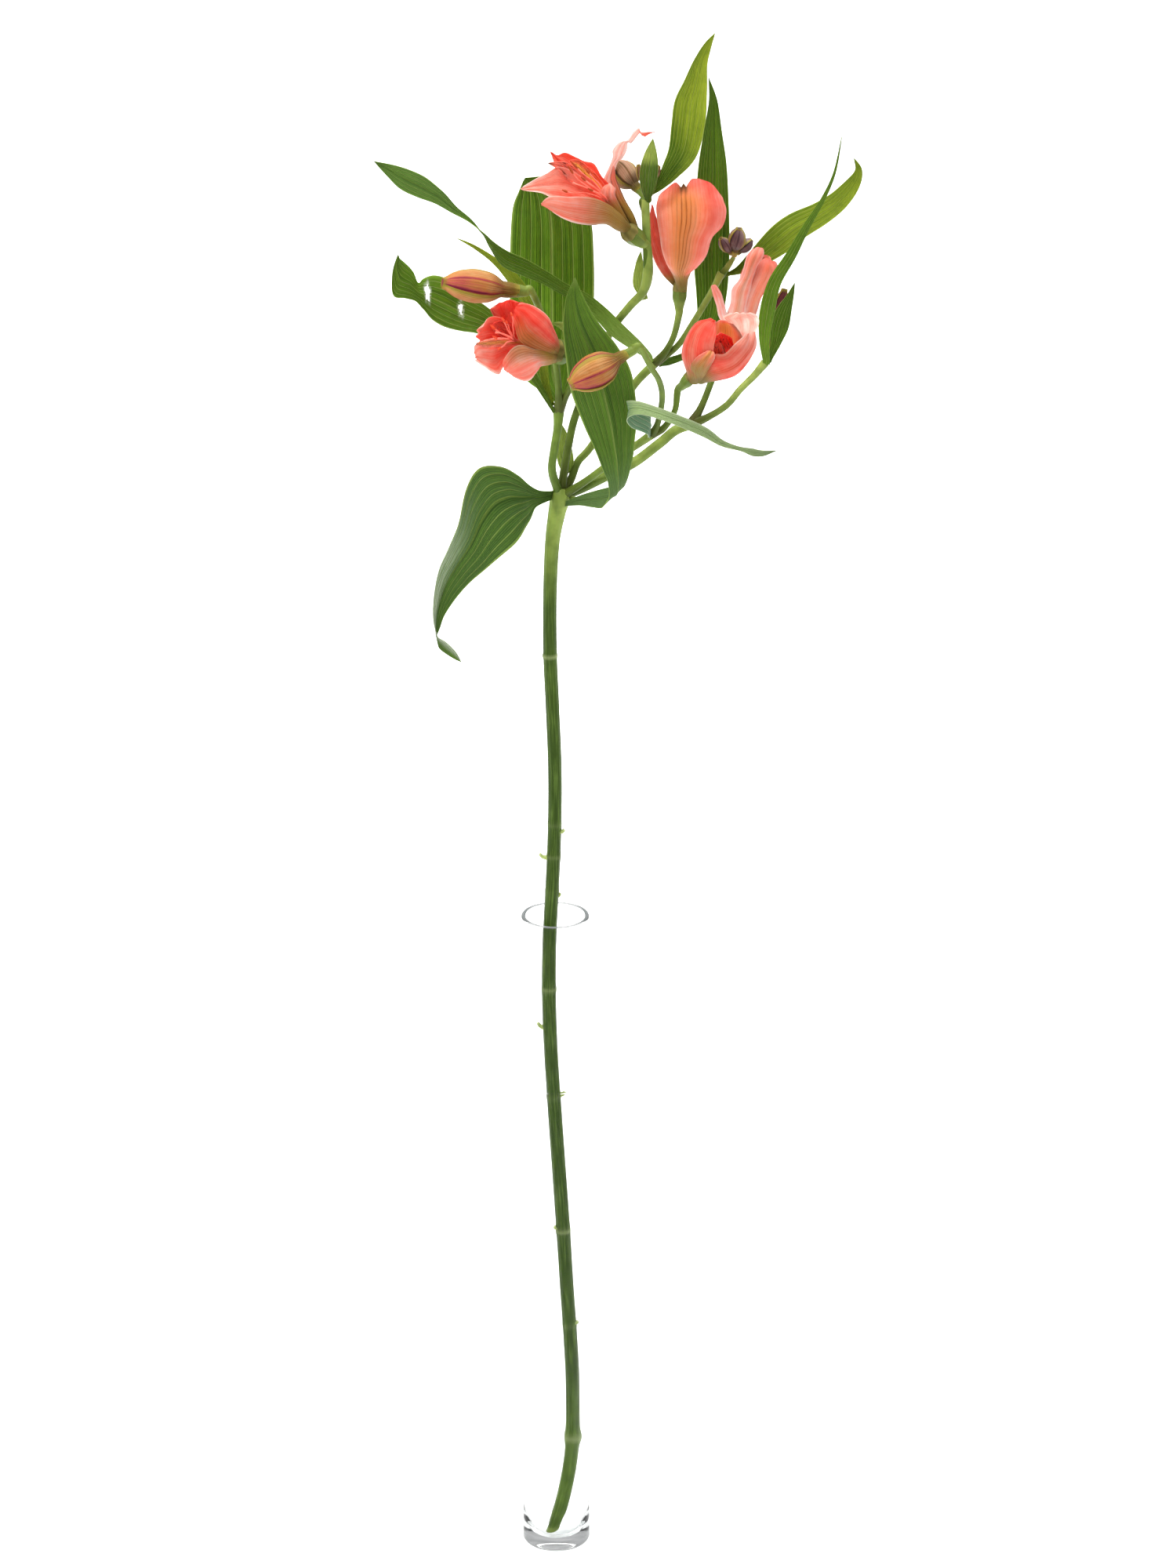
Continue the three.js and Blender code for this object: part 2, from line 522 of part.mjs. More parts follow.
const LEAVES = {
  leaf_front: {
    colour: 0x4f7a35,
    rows: [
      [5.4, -4.1, 504.2, 2.4, 0, 0, 1],
      [13, -11.6, 505.6, 4.4, 0, 0, 1],
      [21, -19, 510, 8, 0.1, 0, 1],
      [28, -28, 517, 10, 0.5, 0.7, 0.6],
      [29.5, -35, 526, 12.5, 0.9, 0.2, 0.3],
      [25, -39, 540, 20.5, 1, 0, 0.25],
      [23, -41, 557, 26.5, 1, 0, 0.25],
      [20, -42, 572, 27, 1, 0, 0.25],
      [17, -42, 585, 23.5, 1, 0, 0.25],
      [13, -41, 598, 15, 1, 0, 0.25],
      [11, -39, 609, 8, 1, 0, 0.25],
      [9, -37, 617, 1, 1, 0, 0.25],
    ],
  },
  leaf_drooping: {
    colour: 0x47713a,
    rows: [
      [-1.4, -2.3, 507.2, 4, 0, 0, -1],
      [-6, -8, 510, 6, 0, 0, -1],
      [-10.5, -14, 512, 15, 0.15, 0, -1],
      [-16, -20, 513, 27, 0.27, 0, -0.96],
      [-23, -26, 512, 35, 0.5, 0, -0.87],
      [-31, -30, 506, 33, 0.75, 0, -0.66],
      [-36, -32, 496, 28.5, 0.85, 0, -0.52],
      [-40.5, -33, 484, 19.5, 0.91, 0, -0.41],
      [-46, -34, 473, 11.4, 0.95, 0, -0.3],
      [-49, -34, 463, 5.4, 0.9, -0.4, -0.25],
      [-50, -33, 454, 3, 0, -1, 0],
      [-48, -34, 449, 4.7, -0.8, -0.3, -0.6],
      [-40, -38, 444, 1, -0.8, 0, -0.6],
    ],
  },
  leaf_broad_back: {
    colour: 0x3f7a1e,
    rows: [
      [2.2, -6.1, 550.2, 2, 1, 0, 0],
      [1, -1, 554, 12, 1, 0, 0],
      [-0.5, 4, 559, 25, 1, 0, 0],
      [-1, 9, 568, 32, 1, 0, 0],
      [-1, 13, 581, 35.6, 1, 0, 0],
      [-1, 16, 596, 36.6, 1, 0, 0],
      [-1, 18, 611, 36.6, 1, 0, 0],
      [-0.5, 18, 625, 34.5, 1, 0, 0],
      [0.5, 17, 636, 33, 1, 0, 0],
      [0.5, 16.4, 642, 29.5, 1, 0, 0],
      [1, 15.8, 646.5, 21, 1, 0, 0],
      [1.5, 15.4, 649, 8, 1, 0, 0],
    ],
  },
  leaf_twisted_left: {
    colour: 0x55833a,
    rows: [
      [41.9, 19.6, 560.3, 2.7, 0.7, 0, 0.7],
      [36, 12, 569, 6.7, 0.7, 0, 0.7],
      [30, 4, 578, 8, 0.7, 0, 0.7],
      [24, -3, 587, 7.4, 0.7, 0, 0.7],
      [17, -8, 596, 5.7, 0.6, -0.2, 0.8],
      [9, -11, 602, 5, 0.5, -0.2, 0.9],
      [-1, -13, 608, 5.7, 0.45, -0.2, 0.9],
      [-10, -15, 614, 6.7, 0.45, -0.2, 0.9],
      [-19, -16, 620, 6, 0.5, -0.4, 0.8],
      [-28, -17.5, 629, 3.6, 0.4, -0.8, 0.5],
      [-34, -18, 635, 2, 0, -1, 0],
      [-39, -18, 640, 4, -0.4, -0.6, -0.6],
      [-46, -18, 646, 8.6, -0.5, 0, -0.85],
      [-55, -18, 651, 10.6, -0.5, 0, -0.85],
      [-64, -19, 657, 8.6, -0.5, 0, -0.85],
      [-76, -21, 663, 0.8, -0.5, 0, -0.85],
    ],
  },
  leaf_narrow_left: {
    colour: 0x8fae3a,
    rows: [
      [-1, -9.1, 552, 1.7, 1, 0, 0.1],
      [-3.5, -9, 560, 3.4, 1, 0, 0.2],
      [-5.5, -8, 574, 4.7, 1, 0, 0.2],
      [-8, -7, 588, 6, 1, 0, 0.3],
      [-12.5, -7, 599, 6, 0.85, 0, 0.5],
      [-19, -8, 609, 5, 0.7, 0, 0.7],
      [-26, -9, 616, 2.7, 0.6, 0, 0.8],
      [-34, -10, 622, 1.7, 0.6, 0, 0.8],
      [-41, -11, 626, 0.8, 0.6, 0, 0.8],
    ],
  },
  leaf_bitten_left: {
    colour: 0x4c8a2a,
    rows: [
      [-0.6, -10.2, 549.2, 1.7, 0.6, 0, 0.8],
      [-9, -12.5, 563, 3.4, 0.7, 0, 0.7],
      [-19, -14, 579, 7.4, 0.5, 0, 0.9],
      [-28, -15, 590, 14, 0.4, 0, 0.9],
      [-35, -17, 596, 18, 0.3, 0, 1],
      [-43, -19, 600, 21.3, 0.2, 0, 1],
      [-50, -20, 602, 19.3, 0, 0, 1],
      [-54, -20, 602.5, 14.6, 0, 0.4, 0.9],
      [-57.5, -21, 603.5, 11, 0.4, 0.9, 0],
      [-62, -23, 607, 11, 0.9, 0.3, -0.3],
      [-64, -24, 614, 6.6, 1, 0, -0.2],
      [-66, -25, 622, 0.8, 1, 0, 0],
    ],
  },
  leaf_top: {
    colour: 0x6f9a2e,
    rows: [
      [40.5, 6.4, 639.8, 1.7, 0.8, 0, -0.6],
      [45, 7, 644, 4.7, 0.8, 0, -0.6],
      [50, 9, 650, 8.7, 0.85, 0, -0.5],
      [55, 11, 658, 12.7, 0.95, 0, -0.3],
      [57, 12, 669, 14.3, 1, 0, -0.15],
      [58, 12, 678, 14, 1, 0, -0.15],
      [60, 11, 687, 10.3, 1, 0, -0.2],
      [62, 9, 697, 6.3, 1, 0, -0.25],
      [65, 8, 705, 3.6, 0.9, 0, -0.4],
      [68, 6, 711, 0.8, 0.9, 0, -0.45],
    ],
  },
  leaf_top_back: {
    colour: 0x3f6b22,
    rows: [
      [46.2, 23.3, 558.1, 1.7, 0.4, 0, -0.9],
      [50, 28, 558, 3.4, 0.4, 0, -0.9],
      [57, 31, 560, 3.4, 0.5, 0, -0.9],
      [63, 36, 565, 6.8, 0.8, 0, -0.6],
      [67, 40, 574.5, 10.9, 1, 0, -0.2],
      [68, 43, 584, 13.5, 1, 0, 0],
      [68, 44, 595, 15.2, 1, 0, 0],
      [68, 44, 610, 15.5, 1, 0, 0],
      [68, 43, 628, 14.1, 1, 0, 0],
      [68, 41, 643, 12.1, 1, 0, 0],
      [68, 38, 658, 8, 1, 0, 0],
      [68, 35, 672.5, 4, 1, 0, 0],
      [66, 32, 684, 0.8, 1, 0, 0.2],
    ],
  },
  leaf_hooked_right: {
    colour: 0x6c9a33,
    rows: [
      [75.1, 31, 596.5, 1.7, 0.5, 0, -0.85],
      [80, 31, 598.5, 4.1, 0.5, 0, -0.85],
      [87, 32, 603, 8.8, 0.6, 0, -0.8],
      [96, 34, 610, 12.8, 0.6, 0, -0.8],
      [104, 36, 616, 12.8, 0.5, 0, -0.85],
      [114, 38, 621, 11.1, 0.5, 0, -0.85],
      [122, 38, 627, 9.1, 0.65, 0, -0.75],
      [128, 36, 635, 6.7, 0.85, 0, -0.5],
      [130.5, 34, 642, 3.4, 1, 0, 0],
      [128.5, 33, 648, 0.8, 0.8, 0, 0.6],
    ],
  },
  leaf_long_right: {
    colour: 0x5f8a3e,
    rows: [
      [91, 4.5, 565.6, 3, 1, 0, 0],
      [90, 1.5, 577, 4.7, 1, 0, 0],
      [91, 0, 589, 6.7, 1, 0, -0.1],
      [94, -2, 603, 5.7, 0.95, 0, -0.35],
      [101, -3, 616, 4.7, 0.9, 0, -0.45],
      [107, -3, 628, 3.3, 0.9, 0, -0.45],
      [114, -2, 640, 2, 0.9, 0, -0.45],
      [119, -1, 652, 1.3, 0.95, 0, -0.3],
      [122, 0, 668, 0.8, 1, 0, -0.1],
    ],
  },
  leaf_short_right: {
    colour: 0x4a7a2c,
    rows: [
      [92.7, 8.1, 565.7, 2, 0.9, 0, -0.4],
      [95, 7.5, 573, 4.7, 0.9, 0, -0.4],
      [96.5, 8, 580, 8.1, 0.9, 0, -0.4],
      [98.5, 9, 587, 6.7, 0.9, 0, -0.4],
      [101, 10, 593, 3.4, 0.9, 0, -0.4],
      [103, 11, 599, 0.8, 0.9, 0, -0.4],
    ],
  },
  leaf_curled: {
    colour: 0x5b7d66,
    rows: [
      [41, -24.6, 542.9, 3, 0, 0.3, 1],
      [40.6, -33, 548, 7, 0, 0, 1],
      [40.4, -42, 554, 9.5, 0.1, 0, 1],
      [34.5, -50, 560, 10.5, 0, 0.3, 1],
      [31.5, -56, 564.5, 8, 0, 0.6, 0.8],
      [37, -60, 566.5, 5.8, 0, 0.7, 0.7],
      [50, -59.5, 562, 5, 0.2, 0.6, 0.7],
      [63, -56, 555, 4.6, 0.3, 0.5, 0.8],
      [71, -54, 549, 3.6, 0.2, 0.8, 0.5],
      [79, -53, 546, 2.7, 0, 1, 0],
      [87, -52, 544, 3.4, 0, 0.5, -1],
      [94, -52, 545, 1, 0, 0.2, -1],
    ],
  },
  bract_upright: {
    colour: 0xa9c46a,
    rows: [
      [4.5, 4.1, 514.4, 2.2, 1, 0, 0],
      [5, 5, 519, 6.8, 1, 0, 0],
      [4, 6.4, 526, 6.8, 1, 0, 0],
      [3.5, 6.4, 532, 4.1, 1, 0, 0],
      [3, 6, 537, 0.8, 1, 0, 0],
    ],
  },
  bract_node: {
    colour: 0xa9c46a,
    rows: [
      [7.6, -3.2, 506.4, 1.7, 0, 0, 1],
      [12, -8.5, 507.5, 2.2, 0, 0, 1],
      [17, -12, 511, 0.8, 0, 0, 1],
    ],
  },
  bract_top: {
    colour: 0x8fb83e,
    rows: [
      [39.9, 3.5, 638.5, 2, 1, 0, 0],
      [40, 2, 647, 5.2, 1, 0, 0],
      [41, 1.5, 654, 6.8, 1, 0, 0],
      [41, 1.5, 661, 4, 1, 0, 0],
      [42, 2, 666, 0.8, 1, 0, 0],
    ],
  },
  bract_pedicel: {
    colour: 0x9fca5a,
    rows: [
      [38.4, 5.2, 595, 2.7, 1, 0, 0.2],
      [37, 6, 600, 6.7, 1, 0, 0.2],
      [36.5, 5.8, 608, 4, 1, 0, 0],
      [37, 5, 615, 0.8, 1, 0, 0],
    ],
  },
  bract_pale: {
    colour: 0xa7c553,
    rows: [
      [12.4, -18.5, 571.5, 1.7, 1, 0, 0],
      [11, -16, 580, 3.7, 1, 0, 0.3],
      [5, -17, 588, 3.7, 0.3, 0, 1],
      [-1, -19, 591, 0.8, 0, 0, 1],
    ],
  },
};

// Two holes that an insect bit in the left leaf: centre and radius.
const BITES = [
  [[-53.5, -20, 604.5], 1.6],
  [[-39.5, -18, 596.5], 1.5],
];

for (const [name, { rows, colour }] of Object.entries(LEAVES)) {
  let leaf = blade(rows, { across: name.startsWith('leaf') ? 3 : 2 });
  if (name === 'leaf_bitten_left') {
    for (const [centre, radius] of BITES) {
      const bite = new THREE.CylinderGeometry(radius, radius, 12, 6).translate(...centre);
      leaf = geometryOf(solid(leaf).subtract(solid(bite)));
    }
  }
  add(name, leaf, colour);
}

export default object;
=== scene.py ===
# %% [markdown]
# # A cut alstroemeria in a glass tube
#
# A florist's alstroemeria is one long green stem that splits into a few rays. Each ray carries
# coral flowers, tight buds and a long leaf that twists on its own stalk. Here the stem stands in
# a plain glass tube with water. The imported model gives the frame: plain solids at their real
# size. Each cell below dresses one piece of it with thin petals, veined leaves or clear glass.

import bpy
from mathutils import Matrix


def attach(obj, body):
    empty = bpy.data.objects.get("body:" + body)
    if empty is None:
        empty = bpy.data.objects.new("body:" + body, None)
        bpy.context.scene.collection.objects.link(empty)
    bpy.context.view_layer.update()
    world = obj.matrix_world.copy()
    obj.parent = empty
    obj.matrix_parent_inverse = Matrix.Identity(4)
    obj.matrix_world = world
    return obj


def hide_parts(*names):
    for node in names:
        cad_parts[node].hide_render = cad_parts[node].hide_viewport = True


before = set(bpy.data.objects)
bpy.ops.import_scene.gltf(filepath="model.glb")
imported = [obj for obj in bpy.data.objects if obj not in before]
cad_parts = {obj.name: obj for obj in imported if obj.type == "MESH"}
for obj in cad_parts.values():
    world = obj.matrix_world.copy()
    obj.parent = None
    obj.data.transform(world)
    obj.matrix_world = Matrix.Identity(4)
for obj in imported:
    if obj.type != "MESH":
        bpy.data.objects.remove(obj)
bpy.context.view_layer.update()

import math

import bpy
import numpy as np

MM = 0.001

# %% [markdown]
# ## Camera
#
# The picture looks down on the tall stem from about three metres away. So long a distance keeps
# the tube's sides almost parallel. In Blender that is a long lens: the focal length follows from
# how large the stem is in the frame. In an upright picture Blender lays the sensor's width along
# the height, so the width set here is the height of the sensor.

# %% Camera
CAMERA_PLACE = (0.0145, -2.912, 1.548)
CAMERA_PITCH = math.radians(68.01)
SENSOR_HEIGHT = 36
FOCAL_LENGTH = 164.4
FARTHEST_SEEN = 50

lens = bpy.data.cameras.new("studio_camera")
lens.lens = FOCAL_LENGTH
lens.sensor_width = SENSOR_HEIGHT
lens.clip_end = FARTHEST_SEEN
camera = bpy.data.objects.new("studio_camera", lens)
camera.location = CAMERA_PLACE
camera.rotation_euler = (CAMERA_PITCH, 0, 0)
bpy.context.scene.collection.objects.link(camera)
bpy.context.scene.camera = camera
print("camera", round(camera.location.length, 2), "m from the foot of the tube")

# %% [markdown]
# ## Colours and nodes
#
# Colours are easiest to read as the hex values that a paint chart gives. Blender mixes light in
# linear values, so one function turns the first into the second. Each material is a small graph
# of nodes, and one more function adds a node, sets it and joins its inputs in one line.
#
# Inputs can be given by name or by number. The numbers follow the sockets from top to bottom. A
# Map Range node has its value at 0, the range it comes from at 1 and 2, and the range it is
# stretched to at 3 and 4. A Mix node has the share at 0 and the two things it mixes at 1 and 2.

# %% Colour and node helpers
def linear(hex_colour):
    """The linear colour of an sRGB hex value such as "#4f7a35"."""
    shares = [int(hex_colour[i:i + 2], 16) / 255 for i in (1, 3, 5)]
    return (*[s / 12.92 if s <= 0.04045 else ((s + 0.055) / 1.055) ** 2.4 for s in shares], 1)


def add(tree, kind, inputs=None, **settings):
    """Adds a node. An input is a plain value, a socket, or a node whose first output is meant."""
    made = tree.nodes.new("ShaderNode" + kind)
    for name, value in settings.items():
        setattr(made, name, value)
    for key, value in (inputs or {}).items():
        if isinstance(value, bpy.types.Node):
            value = value.outputs[0]
        if isinstance(value, bpy.types.NodeSocket):
            tree.links.new(value, made.inputs[key])
        else:
            made.inputs[key].default_value = value
    return made


def empty_material(name):
    """A material with nothing in its graph yet, and its tree."""
    material = bpy.data.materials.new(name)
    material.use_nodes = True
    material.node_tree.nodes.clear()
    return material, material.node_tree


print("mid leaf green in linear light:", [round(value, 3) for value in linear("#4f7a35")[:3]])

# %% [markdown]
# ## Floor and light
#
# Flowers for a catalogue are shot high-key: white all round, with the light mostly from above and
# behind, so that it shines through the petals. The floor is a big disc of matt white board. A long
# softbox hangs over it and makes it pure white behind the plant. A smaller one on the upper left
# gives the leaves and petals form, and a weak one fills from the right. The world only adds a
# little even light, so the shaded sides keep their depth.

# %% Floor and sky
FLOOR_RADIUS = 12
FLOOR_SIDES = 96
WHITE_BOARD = "#f7f7f6"
PURE_WHITE = "#ffffff"
BOARD_GRAIN = 900.0
ZENITH_LIGHT = 0.75
HORIZON_LIGHT = 0.6

board, tree = empty_material("matt_white_board")
place = add(tree, "NewGeometry").outputs["Position"]
grain = add(tree, "TexNoise", {"Vector": place, "Scale": BOARD_GRAIN, "Detail": 2.0})
tint = add(tree, "MixRGB", {0: grain, 1: linear(WHITE_BOARD), 2: linear(PURE_WHITE)})
bump = add(tree, "Bump", {"Strength": 0.1, "Distance": 0.0002, "Height": grain})
surface = add(tree, "BsdfPrincipled", {"Base Color": tint, "Roughness": 0.9, "Normal": bump})
add(tree, "OutputMaterial", {"Surface": surface})

turns = np.linspace(0, 2 * math.pi, FLOOR_SIDES, endpoint=False)
disc = bpy.data.meshes.new("studio_floor")
disc.from_pydata([(FLOOR_RADIUS * math.cos(t), FLOOR_RADIUS * math.sin(t), 0) for t in turns], [],
                 [list(range(FLOOR_SIDES))])
disc.materials.append(board)
floor = bpy.data.objects.new("studio_floor", disc)
bpy.context.scene.collection.objects.link(floor)

world = bpy.data.worlds.new("white_studio")
world.use_nodes = True
tree = world.node_tree
tree.nodes.clear()
aim = add(tree, "TexCoord")
split = add(tree, "SeparateXYZ", {0: aim.outputs["Generated"]})
climb = add(tree, "MapRange", {0: split.outputs["Z"], 1: -0.1, 2: 0.6, 3: HORIZON_LIGHT,
                               4: ZENITH_LIGHT}, interpolation_type="SMOOTHSTEP")
sky = add(tree, "Background", {"Color": linear("#fdfeff"), "Strength": climb})
add(tree, "OutputWorld", {"Surface": sky})
bpy.context.scene.world = world
bpy.context.scene.view_settings.view_transform = "Standard"
print("floor", 2 * FLOOR_RADIUS, "m wide, sky from", HORIZON_LIGHT, "to", ZENITH_LIGHT)

# %% Softboxes
FLOWER_HEAD = (0.02, 0.0, 0.6)
# Each box: name, place, what it faces, width, length, power, colour and spread in degrees. The
# spread works like a grid on the box.
SOFTBOXES = [
    ("softbox_overhead", (0, 1.3, 2.6), (0, 1.301, 0), 2.0, 3.4, 75, PURE_WHITE, 120),
    ("softbox_left", (-1.5, -1.1, 1.9), FLOWER_HEAD, 0.5, 0.5, 30, "#fffaf4", 180),
    ("softbox_right", (1.7, -0.6, 1.3), FLOWER_HEAD, 0.7, 0.7, 5, "#f6faff", 180),
]


def softbox(name, place, aim, width, length, power, colour, spread):
    """An area lamp that faces a point."""
    lamp = bpy.data.lights.new(name, "AREA")
    lamp.shape = "RECTANGLE"
    lamp.size = width
    lamp.size_y = length
    lamp.spread = math.radians(spread)
    lamp.energy = power
    lamp.color = linear(colour)[:3]
    box = bpy.data.objects.new(name, lamp)
    box.location = place
    away = np.array(place) - np.array(aim)
    flat = math.hypot(away[0], away[1])
    box.rotation_euler = (math.atan2(flat, away[2]), 0, math.atan2(away[1], away[0]) + math.pi / 2)
    bpy.context.scene.collection.objects.link(box)


for row in SOFTBOXES:
    softbox(*row)

# %% [markdown]
# ## Curves, sheets and tubes
#
# Nearly everything on the plant is either a thin sheet or a round stalk. Both follow a smooth
# curve through a few chosen points. This Catmull-Rom curve passes through every point, so the
# numbers stay easy to read: they are simply places on the plant in millimetres.
#
# A leaf or petal could be a flat plane with a Solidify modifier. Here the sheet is closed in
# code instead, because then it can thin out towards its margin, have holes and carry marks. A
# mark is a number at each point, such as how far along the leaf it lies, that the material reads.

# %% Curve helpers
def unit(rows):
    """The same directions at length one."""
    rows = np.asarray(rows, float)
    return rows / np.maximum(np.linalg.norm(rows, axis=-1, keepdims=True), 1e-9)


def smooth(rows, share):
    """The point at a share from 0 to 1 of a Catmull-Rom curve through rows of numbers."""
    rows = np.vstack([2 * rows[0] - rows[1], rows, 2 * rows[-1] - rows[-2]])
    span = share * (len(rows) - 3)
    first = min(int(span), len(rows) - 4)
    part = span - first
    a, b, c, d = rows[first:first + 4]
    return 0.5 * (2 * b + (c - a) * part + (2 * a - 5 * b + 4 * c - d) * part ** 2
                  + (3 * b - a - 3 * c + d) * part ** 3)


def resample(rows, count):
    """A finer list of rows along the same smooth curve."""
    rows = np.asarray(rows, float)
    return np.array([smooth(rows, share) for share in np.linspace(0, 1, count)])


def hill(value, centre, width):
    """A bell that is 1 at the centre and near 0 two widths away."""
    return np.exp(-((value - centre) / width) ** 2)


def rise(value, start, end):
    """0 up to the start, 1 from the end on, and smooth between them."""
    share = np.clip((value - start) / (end - start), 0, 1)
    return share * share * (3 - 2 * share)


print("a bell half a width off its centre:", round(float(hill(0.5, 0, 1)), 2))

# %% Sheets: closed skins for leaves and petals
def sheet(grid, thickness, marks, holes=None):
    """A closed skin round a grid of points. Rows run along it, and columns run across it."""
    rows, columns = grid.shape[:2]
    count = rows * columns
    normal = unit(np.cross(np.gradient(grid, axis=0), np.gradient(grid, axis=1)))
    half = np.broadcast_to(thickness, (rows, columns))[..., None] / 2
    points = np.concatenate([grid + normal * half, grid - normal * half]).reshape(-1, 3)
    index = np.arange(count).reshape(rows, columns)
    quads = np.stack([index[:-1, :-1], index[1:, :-1], index[1:, 1:], index[:-1, 1:]], axis=-1)
    quads = quads.reshape(-1, 4) if holes is None else quads[~holes]
    edges = {(quad[k], quad[(k + 1) % 4]) for quad in quads.tolist() for k in range(4)}
    rim = [[b, a, a + count, b + count] for a, b in sorted(edges) if (b, a) not in edges]
    both = {name: np.tile(np.broadcast_to(value, (rows, columns)).ravel(), 2)
            for name, value in marks.items()}
    return {"points": points, "faces": quads.tolist() + (quads[:, ::-1] + count).tolist() + rim,
            "marks": both}


trial = sheet(np.array([[[x, y, 0.0] for x in range(4)] for y in range(3)]), 0.4, {})
print("a trial sheet of 3 by 4 points has", len(trial["faces"]), "faces")

# %% Tubes: closed skins for stalks, buds and stamens
# Where turn 0 of a tube's first ring points, before it is laid square to the line.
FIRST_ACROSS = np.array([0.31, 0.95, 0.05])


def round_turns(sides):
    """The angles of the corners of a ring, as one row."""
    return np.linspace(0, 2 * math.pi, sides, endpoint=False)[None, :]


def tube(line, reach, marks=None):
    """A closed skin of rings along a line. reach[i, j] is how far ring i stands off at turn j."""
    line, reach = np.asarray(line, float), np.asarray(reach, float)
    rings, sides = reach.shape
    ahead = unit(np.gradient(line, axis=0))
    across = FIRST_ACROSS
    turn = round_turns(sides).T
    points = []
    for centre, forward, radii in zip(line, ahead, reach):
        across = unit(across - forward * across.dot(forward))
        beside = np.cross(forward, across)
        points.append(centre + radii[:, None] * (across * np.cos(turn) + beside * np.sin(turn)))
    index = np.arange(rings * sides).reshape(rings, sides)
    beyond = np.roll(index, -1, axis=1)
    quads = np.stack([index[:-1], beyond[:-1], beyond[1:], index[1:]], axis=-1).reshape(-1, 4)
    caps = [index[0, ::-1].tolist(), index[-1].tolist()]
    shape = (rings, sides)
    every = {"along": np.linspace(0, 1, rings)[:, None], "around": np.arange(sides)[None, :] / sides}
    every.update(marks or {})
    return {"points": np.concatenate(points), "faces": quads.tolist() + caps,
            "marks": {name: np.broadcast_to(value, shape).ravel() for name, value in every.items()}}


trial = tube([[0, 0, 0], [0, 0, 5], [0, 0, 9]], np.ones((3, 8)))
print("a trial tube of 3 rings with 8 sides has", len(trial["faces"]), "faces")

# %% One piece from several skins
SHARP_FROM = math.radians(65)
made_pieces = {}


def piece(name, skins, material, node):
    """Joins skins into one object that stands for the named node of the frame."""
    points, faces, start = [], [], 0
    names = sorted({mark for skin in skins for mark in skin["marks"]})
    for skin in skins:
        points.append(skin["points"])
        faces += [[corner + start for corner in face] for face in skin["faces"]]
        start += len(skin["points"])
    used = np.zeros(start, bool)
    used[[corner for face in faces for corner in face]] = True
    fresh = (np.cumsum(used) - 1).tolist()
    mesh = bpy.data.meshes.new(name)
    mesh.from_pydata((np.concatenate(points)[used] * MM).tolist(), [],
                     [[fresh[corner] for corner in face] for face in faces])
    for mark in names:
        values = np.concatenate([skin["marks"].get(mark, np.zeros(len(skin["points"])))
                                 for skin in skins])
        layer = mesh.attributes.new(mark, "FLOAT", "POINT")
        layer.data.foreach_set("value", values[used].astype(np.float32))
    mesh.shade_smooth()
    mesh.set_sharp_from_angle(angle=SHARP_FROM)
    mesh.materials.append(material)
    made = bpy.data.objects.new(name, mesh)
    bpy.context.scene.collection.objects.link(made)
    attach(made, "root")
    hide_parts(node)
    made_pieces[name] = len(mesh.polygons)
    print(name, len(mesh.polygons), "faces")


# %% [markdown]
# ## The glass tube
#
# The vase is drawn soda-lime glass tube with a heavy foot. The foot is moulded hot, so its inside
# is rounded like a test tube's, and the rim is melted round in a flame. A lathe profile turned
# round the axis gives all of this. It needs far more sides than the plain solid, because glass
# shows every flat. Its faint grey edge comes from the glass itself: where the wall is seen edge
# on, light travels a long way inside it and is partly absorbed. A Layer Weight node finds those
# places and darkens the glass there. The foot is thick all over, so a mark, heavy, makes it grey
# sooner and shows the wavy bands that hot glass keeps when it is pressed. A second mark, lip, is
# for the rim. A clear rim would vanish against a white ground, so it is partly matt grey there:
# painted shade for the dark line the rim shows, strongest at both sides of its far half.

# %% Glass and water materials
# Soda-lime glass has an index of 1.52 and water 1.333. Both are matched lower here, because with
# white light from all sides the real tube hardly shifts or widens the stem inside it.
GLASS_IOR = 1.25
WATER_IOR = 1.05
DRAWN_LINES = (60, 60, 9)
FOOT_LAYERS = (45, 45, 420)
LIP_PAINTED_SHADE_GREY = "#6c7070"


